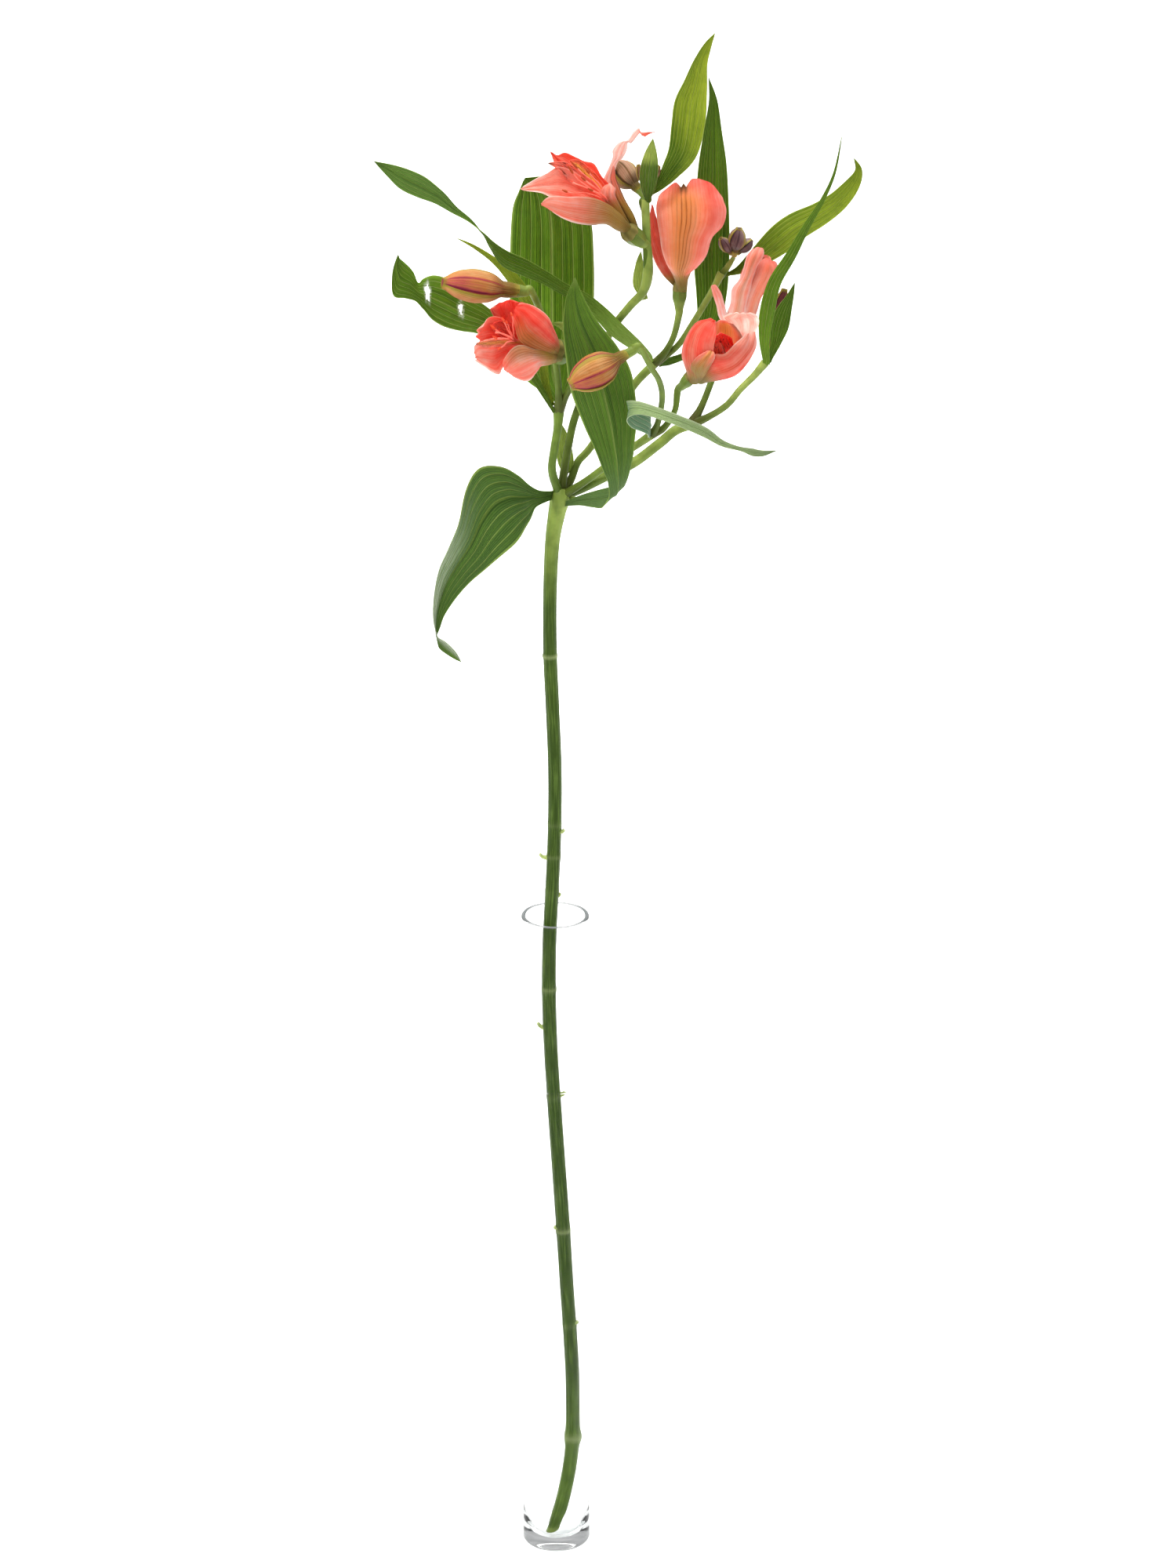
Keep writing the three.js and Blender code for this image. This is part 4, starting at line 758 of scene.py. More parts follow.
# %% The red flower on the left
BLOOMS["bloom_red_left"] = {
    "base": (1.5, -29, 581.5), "axis": (-0.7, -0.55, 0.3), "neck": 5,
    "slot": "petal_red", "pollen": 0.1, "throat": (-14.5, -42.0, 590.0),
    "anthers": [
        [[-18.5, -49, 596.5], [-20, -50, 600], [-21.5, -50, 603.5]],
        [[-20, -50, 595.5], [-23, -51, 597.5], [-26.5, -51, 600.5]],
        [[-17, -47, 597.5], [-17, -48, 602], [-18, -47, 605]],
        [[-20, -51, 594.5], [-22.5, -53, 595], [-25.5, -54, 596.5]],
        [[-19, -52, 593.5], [-21, -53, 592], [-23.5, -54, 590.5]],
        [[-18, -47, 596], [-19, -47, 599], [-20, -47, 601]],
        [[-18.5, -51, 595.5], [-21.5, -53, 597.5], [-24.5, -53, 598]],
    ],
    "edged": [
        ({"red": (0.9, 0.75), "cup": -1, "arc": 60, "ruffle": 1.0, "brown": 0.3, "round": 0.1,
          "neck": 0.05},
         [[-0.5, -30, 582.5, 0.5, -31, 581], [-17, -33, 588.5, -12.5, -34, 587.5],
          [-22, -33, 594.5, -12, -33, 595], [-26, -34, 599.5, -11.5, -34, 601],
          [-26.5, -36, 603, -12.5, -36, 604.5], [-23, -38, 606, -16, -38, 606.5]]),
        ({"red": (0.85, 0.5), "cup": -1, "arc": 50, "ruffle": 1.4, "pale": (0.2, 0), "round": 0.1,
          "neck": 0.05},
         [[-1, -30, 582, 0, -31, 580], [-15.5, -37, 592.5, -14.5, -38, 587.5],
          [-21, -40, 599.5, -20.5, -41, 588.5], [-26, -43, 601.5, -26, -44, 589.5],
          [-30, -46, 600, -29.5, -47, 590.5], [-31.5, -49, 597.5, -31.5, -49, 592]]),
        ({"red": (0.75, 0.3), "cup": -1, "arc": 50, "ruffle": 1.6, "pale": (0, 0.3), "notch": (0.1, 0.1),
          "neck": 0.05},
         [[-1, -31, 581.5, 0, -32, 580], [-14.5, -40, 589.5, -14, -42, 585.5],
          [-22, -45, 591.5, -20.5, -45, 580.5], [-27, -49, 592.5, -23.5, -47, 577.5],
          [-31.5, -52, 592, -29, -50, 581.5], [-33.5, -54, 589.5, -32.5, -53, 586]]),
        ({"red": (0.9, 0.8), "cup": -1, "arc": 40, "ruffle": 0.3, "inner": True, "neck": 0.05},
         [[-2, -31, 583, -1.5, -32, 581.5], [-14, -38, 592.5, -17.5, -40, 588],
          [-17, -40, 597, -22, -43, 592.5], [-21, -42, 600, -25, -45, 596],
          [-25, -44, 599.5, -26, -45, 598]]),
        ({"red": (0.6, 0.4), "arc": 60, "ruffle": 0.3, "gold": 0.6, "streak": 0.8, "tip": 0.7,
          "inner": True, "neck": 0.05},
         [[-2, -31, 582.5, -1.5, -32, 581.5], [-14.5, -42, 591, -14, -43, 588.5],
          [-22, -48, 594, -22, -49, 590.5], [-27, -51, 594.5, -27.5, -52, 591],
          [-30.5, -53, 594, -31.5, -54, 592.5], [-32.5, -55, 594, -32.5, -55, 593]]),
        ({"red": (0.6, 0.9), "arc": 80, "ruffle": 0.6, "fan": 0.9, "pale": (0.4, 0), "round": 0.08,
          "neck": 0.22},
         [[3, -29, 581.5, 2, -31, 579.5], [2, -31, 587, -1, -38, 583.5], [0, -33, 593, -6.5, -43, 586.5],
          [-2.5, -35, 599, -12, -46, 590], [-7.5, -37, 604, -15, -47, 593.5],
          [-12.5, -39, 606.5, -16, -46, 600], [-16, -42, 606.5, -17, -44, 604]]),
        ({"red": (0.22, 0.5), "arc": 75, "ruffle": 1.0, "fan": 0.8, "pale": (0.2, 0), "round": 0.08,
          "neck": 0.3},
         [[2.5, -30, 578, 2.5, -32, 581.5], [-2, -35, 577.5, -2, -39, 585],
          [-5.5, -39, 578, -8.5, -45, 588], [-7.5, -41, 575.5, -13.5, -48, 590.5],
          [-10.5, -43, 573.5, -18, -49, 589], [-14, -45, 574, -21, -49, 585],
          [-18, -47, 577, -21.5, -48, 580.5]]),
    ],
}
print(len(BLOOMS), "flowers so far")

# %% The half-open flower like a cup
BLOOMS["bloom_cup_right"] = {
    "base": (58, -26, 569), "axis": (0.5, -0.45, 0.72), "neck": 2.9, "stamens": 12,
    "slot": "petal_red",
    "edged": [
        ({"red": (0.28, 0.1), "arc": 40, "ruffle": 0.1, "neck": 0.1},
         [[61, -25, 568.5, 64, -25, 569], [76, -24, 578.5, 82.5, -26, 581.5],
          [77, -20, 585, 85, -24, 587], [74.5, -17, 590, 87, -20, 591],
          [72, -16, 592.5, 86.5, -18, 593.5], [76, -18, 595.5, 83, -20, 596]]),
        ({"red": (0.58, 0.42), "cup": -1, "arc": 90, "ruffle": 0.4, "streak": 0.45, "gold": 0.6,
          "brown": 0.65, "painted_shade": 0.08, "neck": 0.1},
         [[59, -26, 568, 63, -26, 568], [64.5, -26, 578, 79.5, -27, 579.5],
          [64.5, -25, 585, 81, -26, 583.5], [65.5, -26, 590.5, 79.5, -28, 588.5],
          [68, -30, 595, 75.5, -31, 594]]),
        ({"red": (1.0, 0.9), "cup": -1, "arc": 120, "ruffle": 0.8, "inner": True, "neck": 0.1},
         [[61, -28, 569.5, 63, -28, 569.5], [68, -38, 582, 77, -36, 582.5],
          [67, -40, 588, 76, -36, 587.5], [68, -42, 592, 75, -38, 591]]),
        ({"red": (1.0, 1.0), "arc": 120, "ruffle": 0.3, "brown": 0.6, "painted_shade": 0.2, "inner": True,
          "neck": 0.1},
         [[61, -29, 569.5, 63, -29, 569.5], [66, -44, 584, 71.5, -42, 582],
          [65.5, -46, 588, 72.5, -43, 585.5], [67.5, -45, 591, 70.5, -43, 590]]),
        ({"red": (0.6, 0.85), "arc": 90, "ruffle": 0.9, "pale": (0.35, 0), "streak": 0.4, "brown": 0.2,
          "neck": 0.2},
         [[57.5, -28, 567.5, 62, -30, 568], [56, -31, 574.5, 65, -42, 578.5],
          [54.5, -32, 582, 67, -49, 586.5], [56.5, -33, 589.5, 67.5, -50, 592.5],
          [60, -35, 595, 68, -48, 596.5], [64, -38, 598.5, 68.5, -44, 598.5],
          [66.5, -41, 600.5, 68.5, -43, 600]]),
        ({"red": (0.78, 0.3), "arc": 95, "ruffle": 0.8, "pale": (0, 0.9), "streak": 0.5, "brown": 0.3,
          "painted_shade": 0.08, "neck": 0.16},
         [[60, -30, 568.5, 64.5, -31, 568.5], [65, -45, 583, 71, -40, 572.5],
          [68, -51, 587.5, 77.5, -43, 576], [72, -52, 588, 81.5, -42, 581],
          [76.5, -50, 591, 84.5, -38, 586.5], [78.5, -47, 593, 85, -35, 589.5],
          [80, -44, 595, 84, -34, 591.5]]),
        ({"red": (0.5, 0.4), "arc": 60, "ruffle": 0.2, "streak": 0.9, "gold": 0.6, "tip": 0.3,
          "neck": 0.4},
         [[59, -31, 569.5, 63.5, -32, 569], [58, -42, 579.5, 65.5, -46, 579.5],
          [60.5, -48, 585.5, 67.5, -51, 585], [64, -50, 588.5, 68, -51, 587.5],
          [65, -47, 588, 67, -47, 587.5]]),
    ],
}
print(len(BLOOMS), "flowers so far")

# %% The flower behind the cup
BLOOMS["bloom_right_back"] = {
    "base": (75, 17, 573), "axis": (0.36, 0.16, 0.9), "neck": 2.8, "stamens": 22, "arc": 80,
    "slot": "petal_salmon", "tepals": [
        [17, 10, 33, 15, 24, 6, {"red": 0.45, "arc": 160, "notch": 0}],
        [12, 9, 32, 11, 24, 5, {"red": 0.6}],
        [15, 5, 34, 10, 24, 4, {"red": 0.6}],
    ],
    "edged": [
        ({"red": (0.1, 0.35), "arc": 110, "ruffle": 0.3, "neck": 0.1},
         [[76, 14, 576, 78.5, 14, 576], [71, 11, 583, 74.5, 11, 584.5], [69.5, 9, 589.5, 73, 9, 590],
          [68, 8, 594.5, 71.5, 8, 595.5], [67, 8, 599, 69, 8, 599.5]]),
        ({"red": (0.28, 0.58), "arc": 120, "ruffle": 0.6, "gold": 0.15, "pale": (0.1, 0.2), "brown": 0.35,
          "neck": 0.12},
         [[78.5, 15, 575.5, 84, 16, 576], [80.5, 13, 584.5, 87, 15, 584.5],
          [81.5, 11, 592.5, 89, 15, 591.5], [83.5, 10, 599.5, 92, 15, 597.5],
          [85.5, 10, 604, 94, 15, 601.5], [87, 12, 607, 96, 14, 604.5], [89.5, 14, 609, 95, 14, 608]]),
        ({"red": (0.2, 0.45), "arc": 120, "ruffle": 0.5, "gold": 0.15, "streak": 0.4, "pale": (0.2, 0),
          "neck": 0.12},
         [[75, 15, 575.5, 80, 15, 575.5], [74, 12, 584, 82, 12, 584], [75.5, 10, 590.5, 82.5, 10, 590.5],
          [76, 9, 597, 84, 9, 597], [79, 9, 601, 85.5, 9, 603], [81, 9, 606.5, 87, 9, 607.5],
          [82.5, 10, 611.5, 89.5, 10, 611.5], [85.5, 12, 614.5, 89.5, 12, 614]]),
    ],
}
print(sum(len(bloom["edged"]) for bloom in BLOOMS.values()), "tepals with two edges")

# %% Single buds
# Each has the place of its base and its tip, its radius, and the radius of its neck.
BUDS = {
    "bud_left": {"base": (-15, -23, 606.5), "tip": (-47, -30, 612.5), "radius": 7.3, "neck": 3.3,
                 "slot": "bud_orange"},
    "bud_front": {"base": (31, -50, 587.5), "tip": (7, -57, 576), "radius": 8, "neck": 2.5,
                  "slot": "bud_orange"},
    "bud_back_top": {"base": (36.4, 9.5, 640.8), "tip": (25.5, 19, 650), "radius": 5.9, "neck": 2.1,
                     "slot": "bud_olive"},
    "bud_dark_right": {"base": (93, 13, 569), "tip": (99, 18, 594), "radius": 3.8, "neck": 1.3,
                       "slot": "bud_maroon"},
}
print("single buds:", ", ".join(BUDS))

# %% How a pedicel ends
# A flower's base stands this far off the ovary, so the stem and the flower stay two pieces.
GAP = 0.3
OVARY_LENGTH = 8
PEDICEL_RADIUS = 1.4


def along(bloom, distance, radius):
    """A row on a flower's axis, at a distance from its base."""
    return [*(np.array(bloom["base"]) + unit(bloom["axis"]) * distance), radius]


def to_bloom(name):
    """The end of a pedicel: the ovary, which meets the flower's base."""
    bloom = BLOOMS[name]
    neck = bloom["neck"]
    return [along(bloom, -OVARY_LENGTH * 1.3, PEDICEL_RADIUS + 0.2),
            along(bloom, -OVARY_LENGTH * 0.85, 0.66 * neck),
            along(bloom, -OVARY_LENGTH * 0.4, 0.94 * neck),
            along(bloom, GAP, 0.97 * neck)]


def to_bud(name):
    """The end of a pedicel under a bud, where the ovary is still small."""
    base, tip = np.array(BUDS[name]["base"]), np.array(BUDS[name]["tip"])
    neck = BUDS[name]["neck"]
    back = unit(base - tip)
    return [[*(base + back * 6), PEDICEL_RADIUS + 0.1],
            [*(base + back * 3), 0.5 * (neck + PEDICEL_RADIUS)],
            [*(base - back * 0.8), 0.84 * neck]]


print("the top flower's ovary ends at", np.round(to_bloom("bloom_top_left")[-1][:3], 1))

# %% Stalk rows
# The nodes where a ray forks.
NODE_LEFT = [2, -8, 548, 2.5]
FORK_BACK = [43, 21, 559, 2]
FORK_RIGHT = [59, 3, 538, 2.4]
FORK_FRONT = [42, -22, 542, 2]

# Each stalk: its rows x, y, z, radius, then how brown its base is, and how lime its upper part.
STALKS = [
    # The left ray, with the pedicels of the red flower and of the left bud.
    [[[3, 0, 506, 2], [1, -2, 511, 1.9], [-1, -5, 520, 1.8], [0, -7, 530, 1.8], [1.5, -8, 540, 1.9],
      NODE_LEFT], 0.1, 0.1],
    [[NODE_LEFT, [5, -10, 555, 1.5], [8.5, -14, 563, 1.4], [10, -19, 571, 1.4],
      *to_bloom("bloom_red_left")], 0.5, 0.3],
    [[NODE_LEFT, [2, -11, 557, 1.5], [1, -13, 569, 1.4], [-2, -15, 584, 1.4],
      *to_bud("bud_left")], 0.4, 0.5],
    # The middle ray, to the top flower and the buds and leaf above it.
    [[[3, 0, 506, 2], [4, 1, 516, 1.8], [6, 2, 528, 1.7], [9, 4, 541, 1.7], [16, 6, 559, 1.7],
      [24, 7, 578, 1.7], [32, 5, 590, 1.8], [38, 2, 598, 2], [40, 0, 607, 2.2],
      *to_bloom("bloom_top_left")], 0.35, 0.6],
    [[[40, 0, 609, 1.9], [39.5, 2.5, 622, 1.8], [39, 4.5, 633, 1.8], [39, 5.5, 638, 1.7]], 0.0, 0.8],
    [[[39, 5, 632, 1.5], [37.5, 6.5, 637, 1.4], *to_bud("bud_back_top")], 0.5, 0.2],
    [[[39, 5, 635, 1.4], [39, 7.6, 639, 1.2], [39, 8.5, 642.6, 0.9]], 0.4, 0.2],
    # The back ray, to the flower seen from behind and the right bud cluster.
    [[[3, 0, 506, 2], [7, 4, 512, 1.8], [10, 7, 519, 1.7], [15, 10, 524, 1.7], [25, 15, 537, 1.7],
      [35, 19, 551, 1.8], FORK_BACK], 0.5, 0.5],
    [[FORK_BACK, [48, 22, 564.5, 1.5], [51.5, 23.5, 571, 1.4], *to_bloom("bloom_top_back")], 0.4, 0.7],
    [[FORK_BACK, [48, 23, 562, 1.5], [54, 25, 567, 1.4], [60, 27, 576, 1.4], [65, 29, 584, 1.4],
      [69, 30, 591, 1.5], [72, 31, 597, 1.9]], 0.7, 0.7],
    [[[72, 31, 596, 1.6], [75, 31, 600.3, 1.3], [77.2, 31, 604, 1]], 0.0, 0.9],
    # The right ray, to the flower behind and the two right leaves.
    [[[3, 0, 506, 2.4], [13, -2, 511, 2.2], [23, -4, 517, 2.2], [34, -5, 523, 2.2], [45, -3, 531, 2.2],
      [52, 0, 536, 2.2], FORK_RIGHT], 0.15, 0.5],
    [[FORK_RIGHT, [64, 7, 546, 1.5], *to_bloom("bloom_right_back")], 0.6, 0.5],
    [[FORK_RIGHT, [66, 3, 541, 1.6], [74, 4, 546, 1.5], [80, 5, 553, 1.5], [86, 6, 559, 1.6],
      [90.5, 6.5, 564.5, 2]], 0.5, 0.8],
    [[[89.5, 6.5, 563, 1.4], [91.5, 9.5, 565, 1.1], *to_bud("bud_dark_right")], 0.6, 0.1],
    # The front ray, to the cup flower and the front bud.
    [[[3, 0, 506, 2], [13, -7, 515, 1.6], [23, -13, 525, 1.5], [33, -18, 534, 1.6], FORK_FRONT], 0.3, 0.4],
    [[FORK_FRONT, [47, -22, 545, 1.5], [51.5, -23, 553, 1.3], *to_bloom("bloom_cup_right")], 0.4, 0.3],
    [[FORK_FRONT, [44, -24, 547, 1.4], [45.5, -27, 555, 1.3], [46, -31, 563, 1.3], [44.5, -36, 571, 1.3],
      [41, -42, 579, 1.3], *to_bud("bud_front")], 0.3, 0.4],
]
print(len(STALKS), "stalks")

# %% Stem, stubs and stalks in one piece
RAY_SIDES = 18
THREAD_SIDES = 8
# A thin pale fibre that floats from the stem at the waterline: x, y, z and radius.
THREAD = [[2, -8, 226.2, 0.3], [4.4, -8.4, 227.4, 0.2], [7, -8.9, 228, 0.16], [9.6, -9, 228.1, 0.12]]


def stalk(rows, brown, limed):
    """A ridged stalk that may be brown at its base and on one side, and lime further up, with a painted
    highlight of lime on the other side.
    """
    count = 10 * len(rows)
    line = resample(rows, count)
    share = np.linspace(0, 1, count)[:, None]
    turn = round_turns(RAY_SIDES)
    swollen = rise(line[:, 3:4], 2.3, 3.0) * rise(share, 0.5, 0.7)
    ridges = (0.03 + 0.08 * swollen) * np.cos(6 * turn)
    reach = line[:, 3:4] * (1 + ridges)
    side = 0.5 + 0.5 * np.cos(turn + 1.2)
    # The lime is stronger on the side away from the brown: a painted highlight.
    lime = limed * rise(share, 0.1, 0.6) * (1 - 0.55 * swollen) * (1.1 - 0.5 * side)
    blush = brown * (hill(share, 0, 0.22) + 0.7 * side ** 3 * rise(share, 0.4, 0.9))
    marks = {"span": share * 60 + line[0, 2], "deep": 0.15 + 0.5 * (1 - share) ** 2 + 0.35 * swollen,
             "lime": np.clip(lime, 0, 1), "blush": np.clip(blush, 0, 1)}
    return tube(line[:, :3], reach, marks)


thread = resample(THREAD, 20)
skins = [main_stem()] + [stub(*row) for row in STUBS] + [stalk(*row) for row in STALKS]
skins += [tube(thread[:, :3], thread[:, 3:4] * np.ones(THREAD_SIDES), {"scar": 0.8, "lime": 0.5})]
piece("green_stem", skins, stem_skin, "stem")

# %% [markdown]
# ## Leaves
#
# An alstroemeria leaf is a thin, matt blade with many veins that run side by side from base to
# tip. It turns over on its stalk, so its bluish back often faces up. The blade follows a curve
# through a few rows, and each row also says how wide it is and which way its width points. The
# section is bowed, folded a little at the midrib and waved at the margin.
#
# The veins are drawn in the material. It reads how far across the blade a point lies, so lines
# at even steps of that mark crowd together at the base and the tip as real veins do. On the broad
# leaves, the broad veins lie 3 to 5 mm apart. The fine ones between them are 0.3 mm apart in
# life, too fine to show here, and are drawn 0.5 to 1 mm apart. Part of the light passes through,
# which is why a leaf against a white ground glows yellow-green.

# %% Material: leaf blade
def leaf_blade(name, deep, bright, vein, back, glow, through=0.3):
    """Matt leaf tissue with parallel veins, a paler back and light that passes through."""
    material, tree = empty_material(name)
    mark = {title: add(tree, "Attribute", attribute_name=title).outputs["Fac"]
            for title in ("along", "across", "cool", "tone", "veins", "midrib", "ribs", "worn", "pale")}
    chart = add(tree, "CombineXYZ", {0: mark["along"], 1: mark["across"]})
    place = add(tree, "NewGeometry").outputs["Position"]
    mottle = add(tree, "TexNoise", {"Vector": place, "Scale": 260.0, "Detail": 4.0})
    lengthwise = add(tree, "Mapping", {"Vector": chart, "Scale": (3, 22, 1)})
    streaks = add(tree, "TexNoise", {"Vector": lengthwise, "Scale": 1.0, "Detail": 4.0})
    # Broad veins: thin lines where a sine of the distance across passes through zero.
    phase = add(tree, "Math", {0: mark["across"], 1: mark["veins"]}, operation="MULTIPLY")
    wave = add(tree, "Math", {0: add(tree, "Math", {0: phase}, operation="SINE")}, operation="ABSOLUTE")
    broad = add(tree, "MapRange", {0: wave, 1: 0.0, 2: 0.34, 3: 1.0, 4: 0.0},
                interpolation_type="SMOOTHSTEP")
    near = add(tree, "Math", {0: mark["across"]}, operation="ABSOLUTE")
    middle = add(tree, "MapRange", {0: near, 1: 0.0, 2: 0.05, 3: 1.0, 4: 0.0},
                 interpolation_type="SMOOTHSTEP")
    central = add(tree, "Math", {0: middle, 1: mark["midrib"]}, operation="MULTIPLY")
    dense = add(tree, "Math", {0: phase, 1: 5.0}, operation="MULTIPLY")
    fine = add(tree, "Math", {0: add(tree, "Math", {0: dense}, operation="SINE")}, operation="ABSOLUTE")
    # How strongly each layer of colour shows.
    lively = add(tree, "MapRange", {0: streaks, 1: 0.3, 2: 0.7, 3: -0.36, 4: 0.36})
    level = add(tree, "Math", {0: mark["tone"], 1: lively}, operation="ADD", use_clamp=True)
    spotty = add(tree, "MapRange", {0: mottle, 1: 0.45, 2: 0.8, 3: 0.0, 4: 0.35})
    faint = add(tree, "MapRange", {0: fine, 1: 0.0, 2: 0.5, 3: 0.22, 4: 0.0})
    strength = add(tree, "Math", {0: broad, 1: mark["ribs"]}, operation="MULTIPLY")
    most = add(tree, "Math", {0: strength, 1: central}, operation="MAXIMUM")
    margin = add(tree, "MapRange", {0: near, 1: 0.93, 2: 0.99, 3: 0.0, 4: 0.75})
    rimmed = add(tree, "Math", {0: margin, 1: mark["pale"]}, operation="MAXIMUM")
    coarser = add(tree, "Mapping", {"Vector": chart, "Scale": (4, 24, 1)})
    scratch = add(tree, "TexNoise", {"Vector": coarser, "Scale": 1.0, "Detail": 3.0})
    rubbed_and_sheen = add(tree, "MapRange", {0: scratch, 1: 0.4, 2: 0.52, 3: 0.0, 4: 0.95})
    where = add(tree, "Math", {0: rubbed_and_sheen, 1: mark["worn"]}, operation="MULTIPLY")
    # Layers over the deep green: bright, mottled, bluish, fine and broad veins, pale, and worn white,
    # which is also painted sheen in streaks on the drooping leaf.
    colour = linear(deep)
    for share, tint in [(level, bright), (spotty, deep), (mark["cool"], back), (faint, vein),
                        (most, vein), (rimmed, vein), (where, "#dbe3cd")]:
        colour = add(tree, "MixRGB", {0: share, 1: colour, 2: linear(tint)})
    # Relief: veins are sunk grooves on the face, and the tissue between them is finely pebbled.
    groove = add(tree, "Math", {0: broad, 1: -1.0}, operation="MULTIPLY")
    ribs = add(tree, "Math", {0: fine, 1: 0.35, 2: groove}, operation="MULTIPLY_ADD")
    pebbled = add(tree, "Math", {0: mottle, 1: 0.6, 2: ribs}, operation="MULTIPLY_ADD")
    folded = add(tree, "Math", {0: wave, 1: 1.2, 2: pebbled}, operation="MULTIPLY_ADD")
    bump = add(tree, "Bump", {"Strength": 0.8, "Distance": 0.0005, "Height": folded})
    sheen = add(tree, "MapRange", {0: mottle, 3: 0.36, 4: 0.55})
    solid = add(tree, "BsdfPrincipled", {"Base Color": colour, "Roughness": sheen, "Normal": bump,
                                         "IOR": 1.42, "Specular IOR Level": 0.12})
    warm = add(tree, "MixRGB", {0: 0.4, 1: colour, 2: linear(glow)})
    passing = add(tree, "BsdfTranslucent", {"Color": warm, "Normal": bump})
    surface = add(tree, "MixShader", {0: through, 1: solid, 2: passing})
    add(tree, "OutputMaterial", {"Surface": surface})
    return material


# Each leaf skin: its name, then the deep and bright green, the veins, the back, the light that
# glows through and, where it isn't 0.3, how much of it does.
LEAF_COLOURS = {
    "leaf_green": ("green_leaf_blade", "#335409", "#7ba527", "#b0c968", "#6a8a5a", "#8fb822"),
    "leaf_bright": ("bright_leaf_blade", "#446a12", "#c0cf3e", "#cfdc72", "#8fa860", "#c0d838", 0.4),
    "leaf_bluish": ("bluish_leaf_blade", "#3f6a2c", "#93b562", "#d2e0b4", "#56806a", "#90b75a"),
    "bract_pale": ("pale_bract_blade", "#4a6e18", "#c0d468", "#dce6a2", "#9db46c", "#cde06a", 0.4),
}
LEAF_SKINS = {slot: leaf_blade(*colours) for slot, colours in LEAF_COLOURS.items()}
print("leaf materials:", ", ".join(LEAF_SKINS))

# %% What most leaves share
# A leaf's rows: x, y, z, width, and the way the width points. Its tone says how bright it is, from
# u = 0 at the base to 1 at the tip and v = -1 to 1 across. "veins" is how many broad veins each
# half has, "midrib" how pale the middle one is, and "bow" how far the section bows in degrees.
# A bite has a place, half a width and half a height. Each leaf adds to this plain one.
PLAIN_LEAF = {
    "slot": "leaf_green",
    "slanted": False,  # its width is laid just as the rows point, and not square to the blade
    "ribs": 0.8,  # how pale the broad veins are
    "worn": 0,  # how much is painted with whitish streaks of sheen
    "bites": [],
    "cool": lambda u, v: 0,  # how bluish it is, like its back
    "pale": lambda u, v: 0,  # how far it fades to the colour of its veins
}
print("a leaf has", len(PLAIN_LEAF), "plain values")

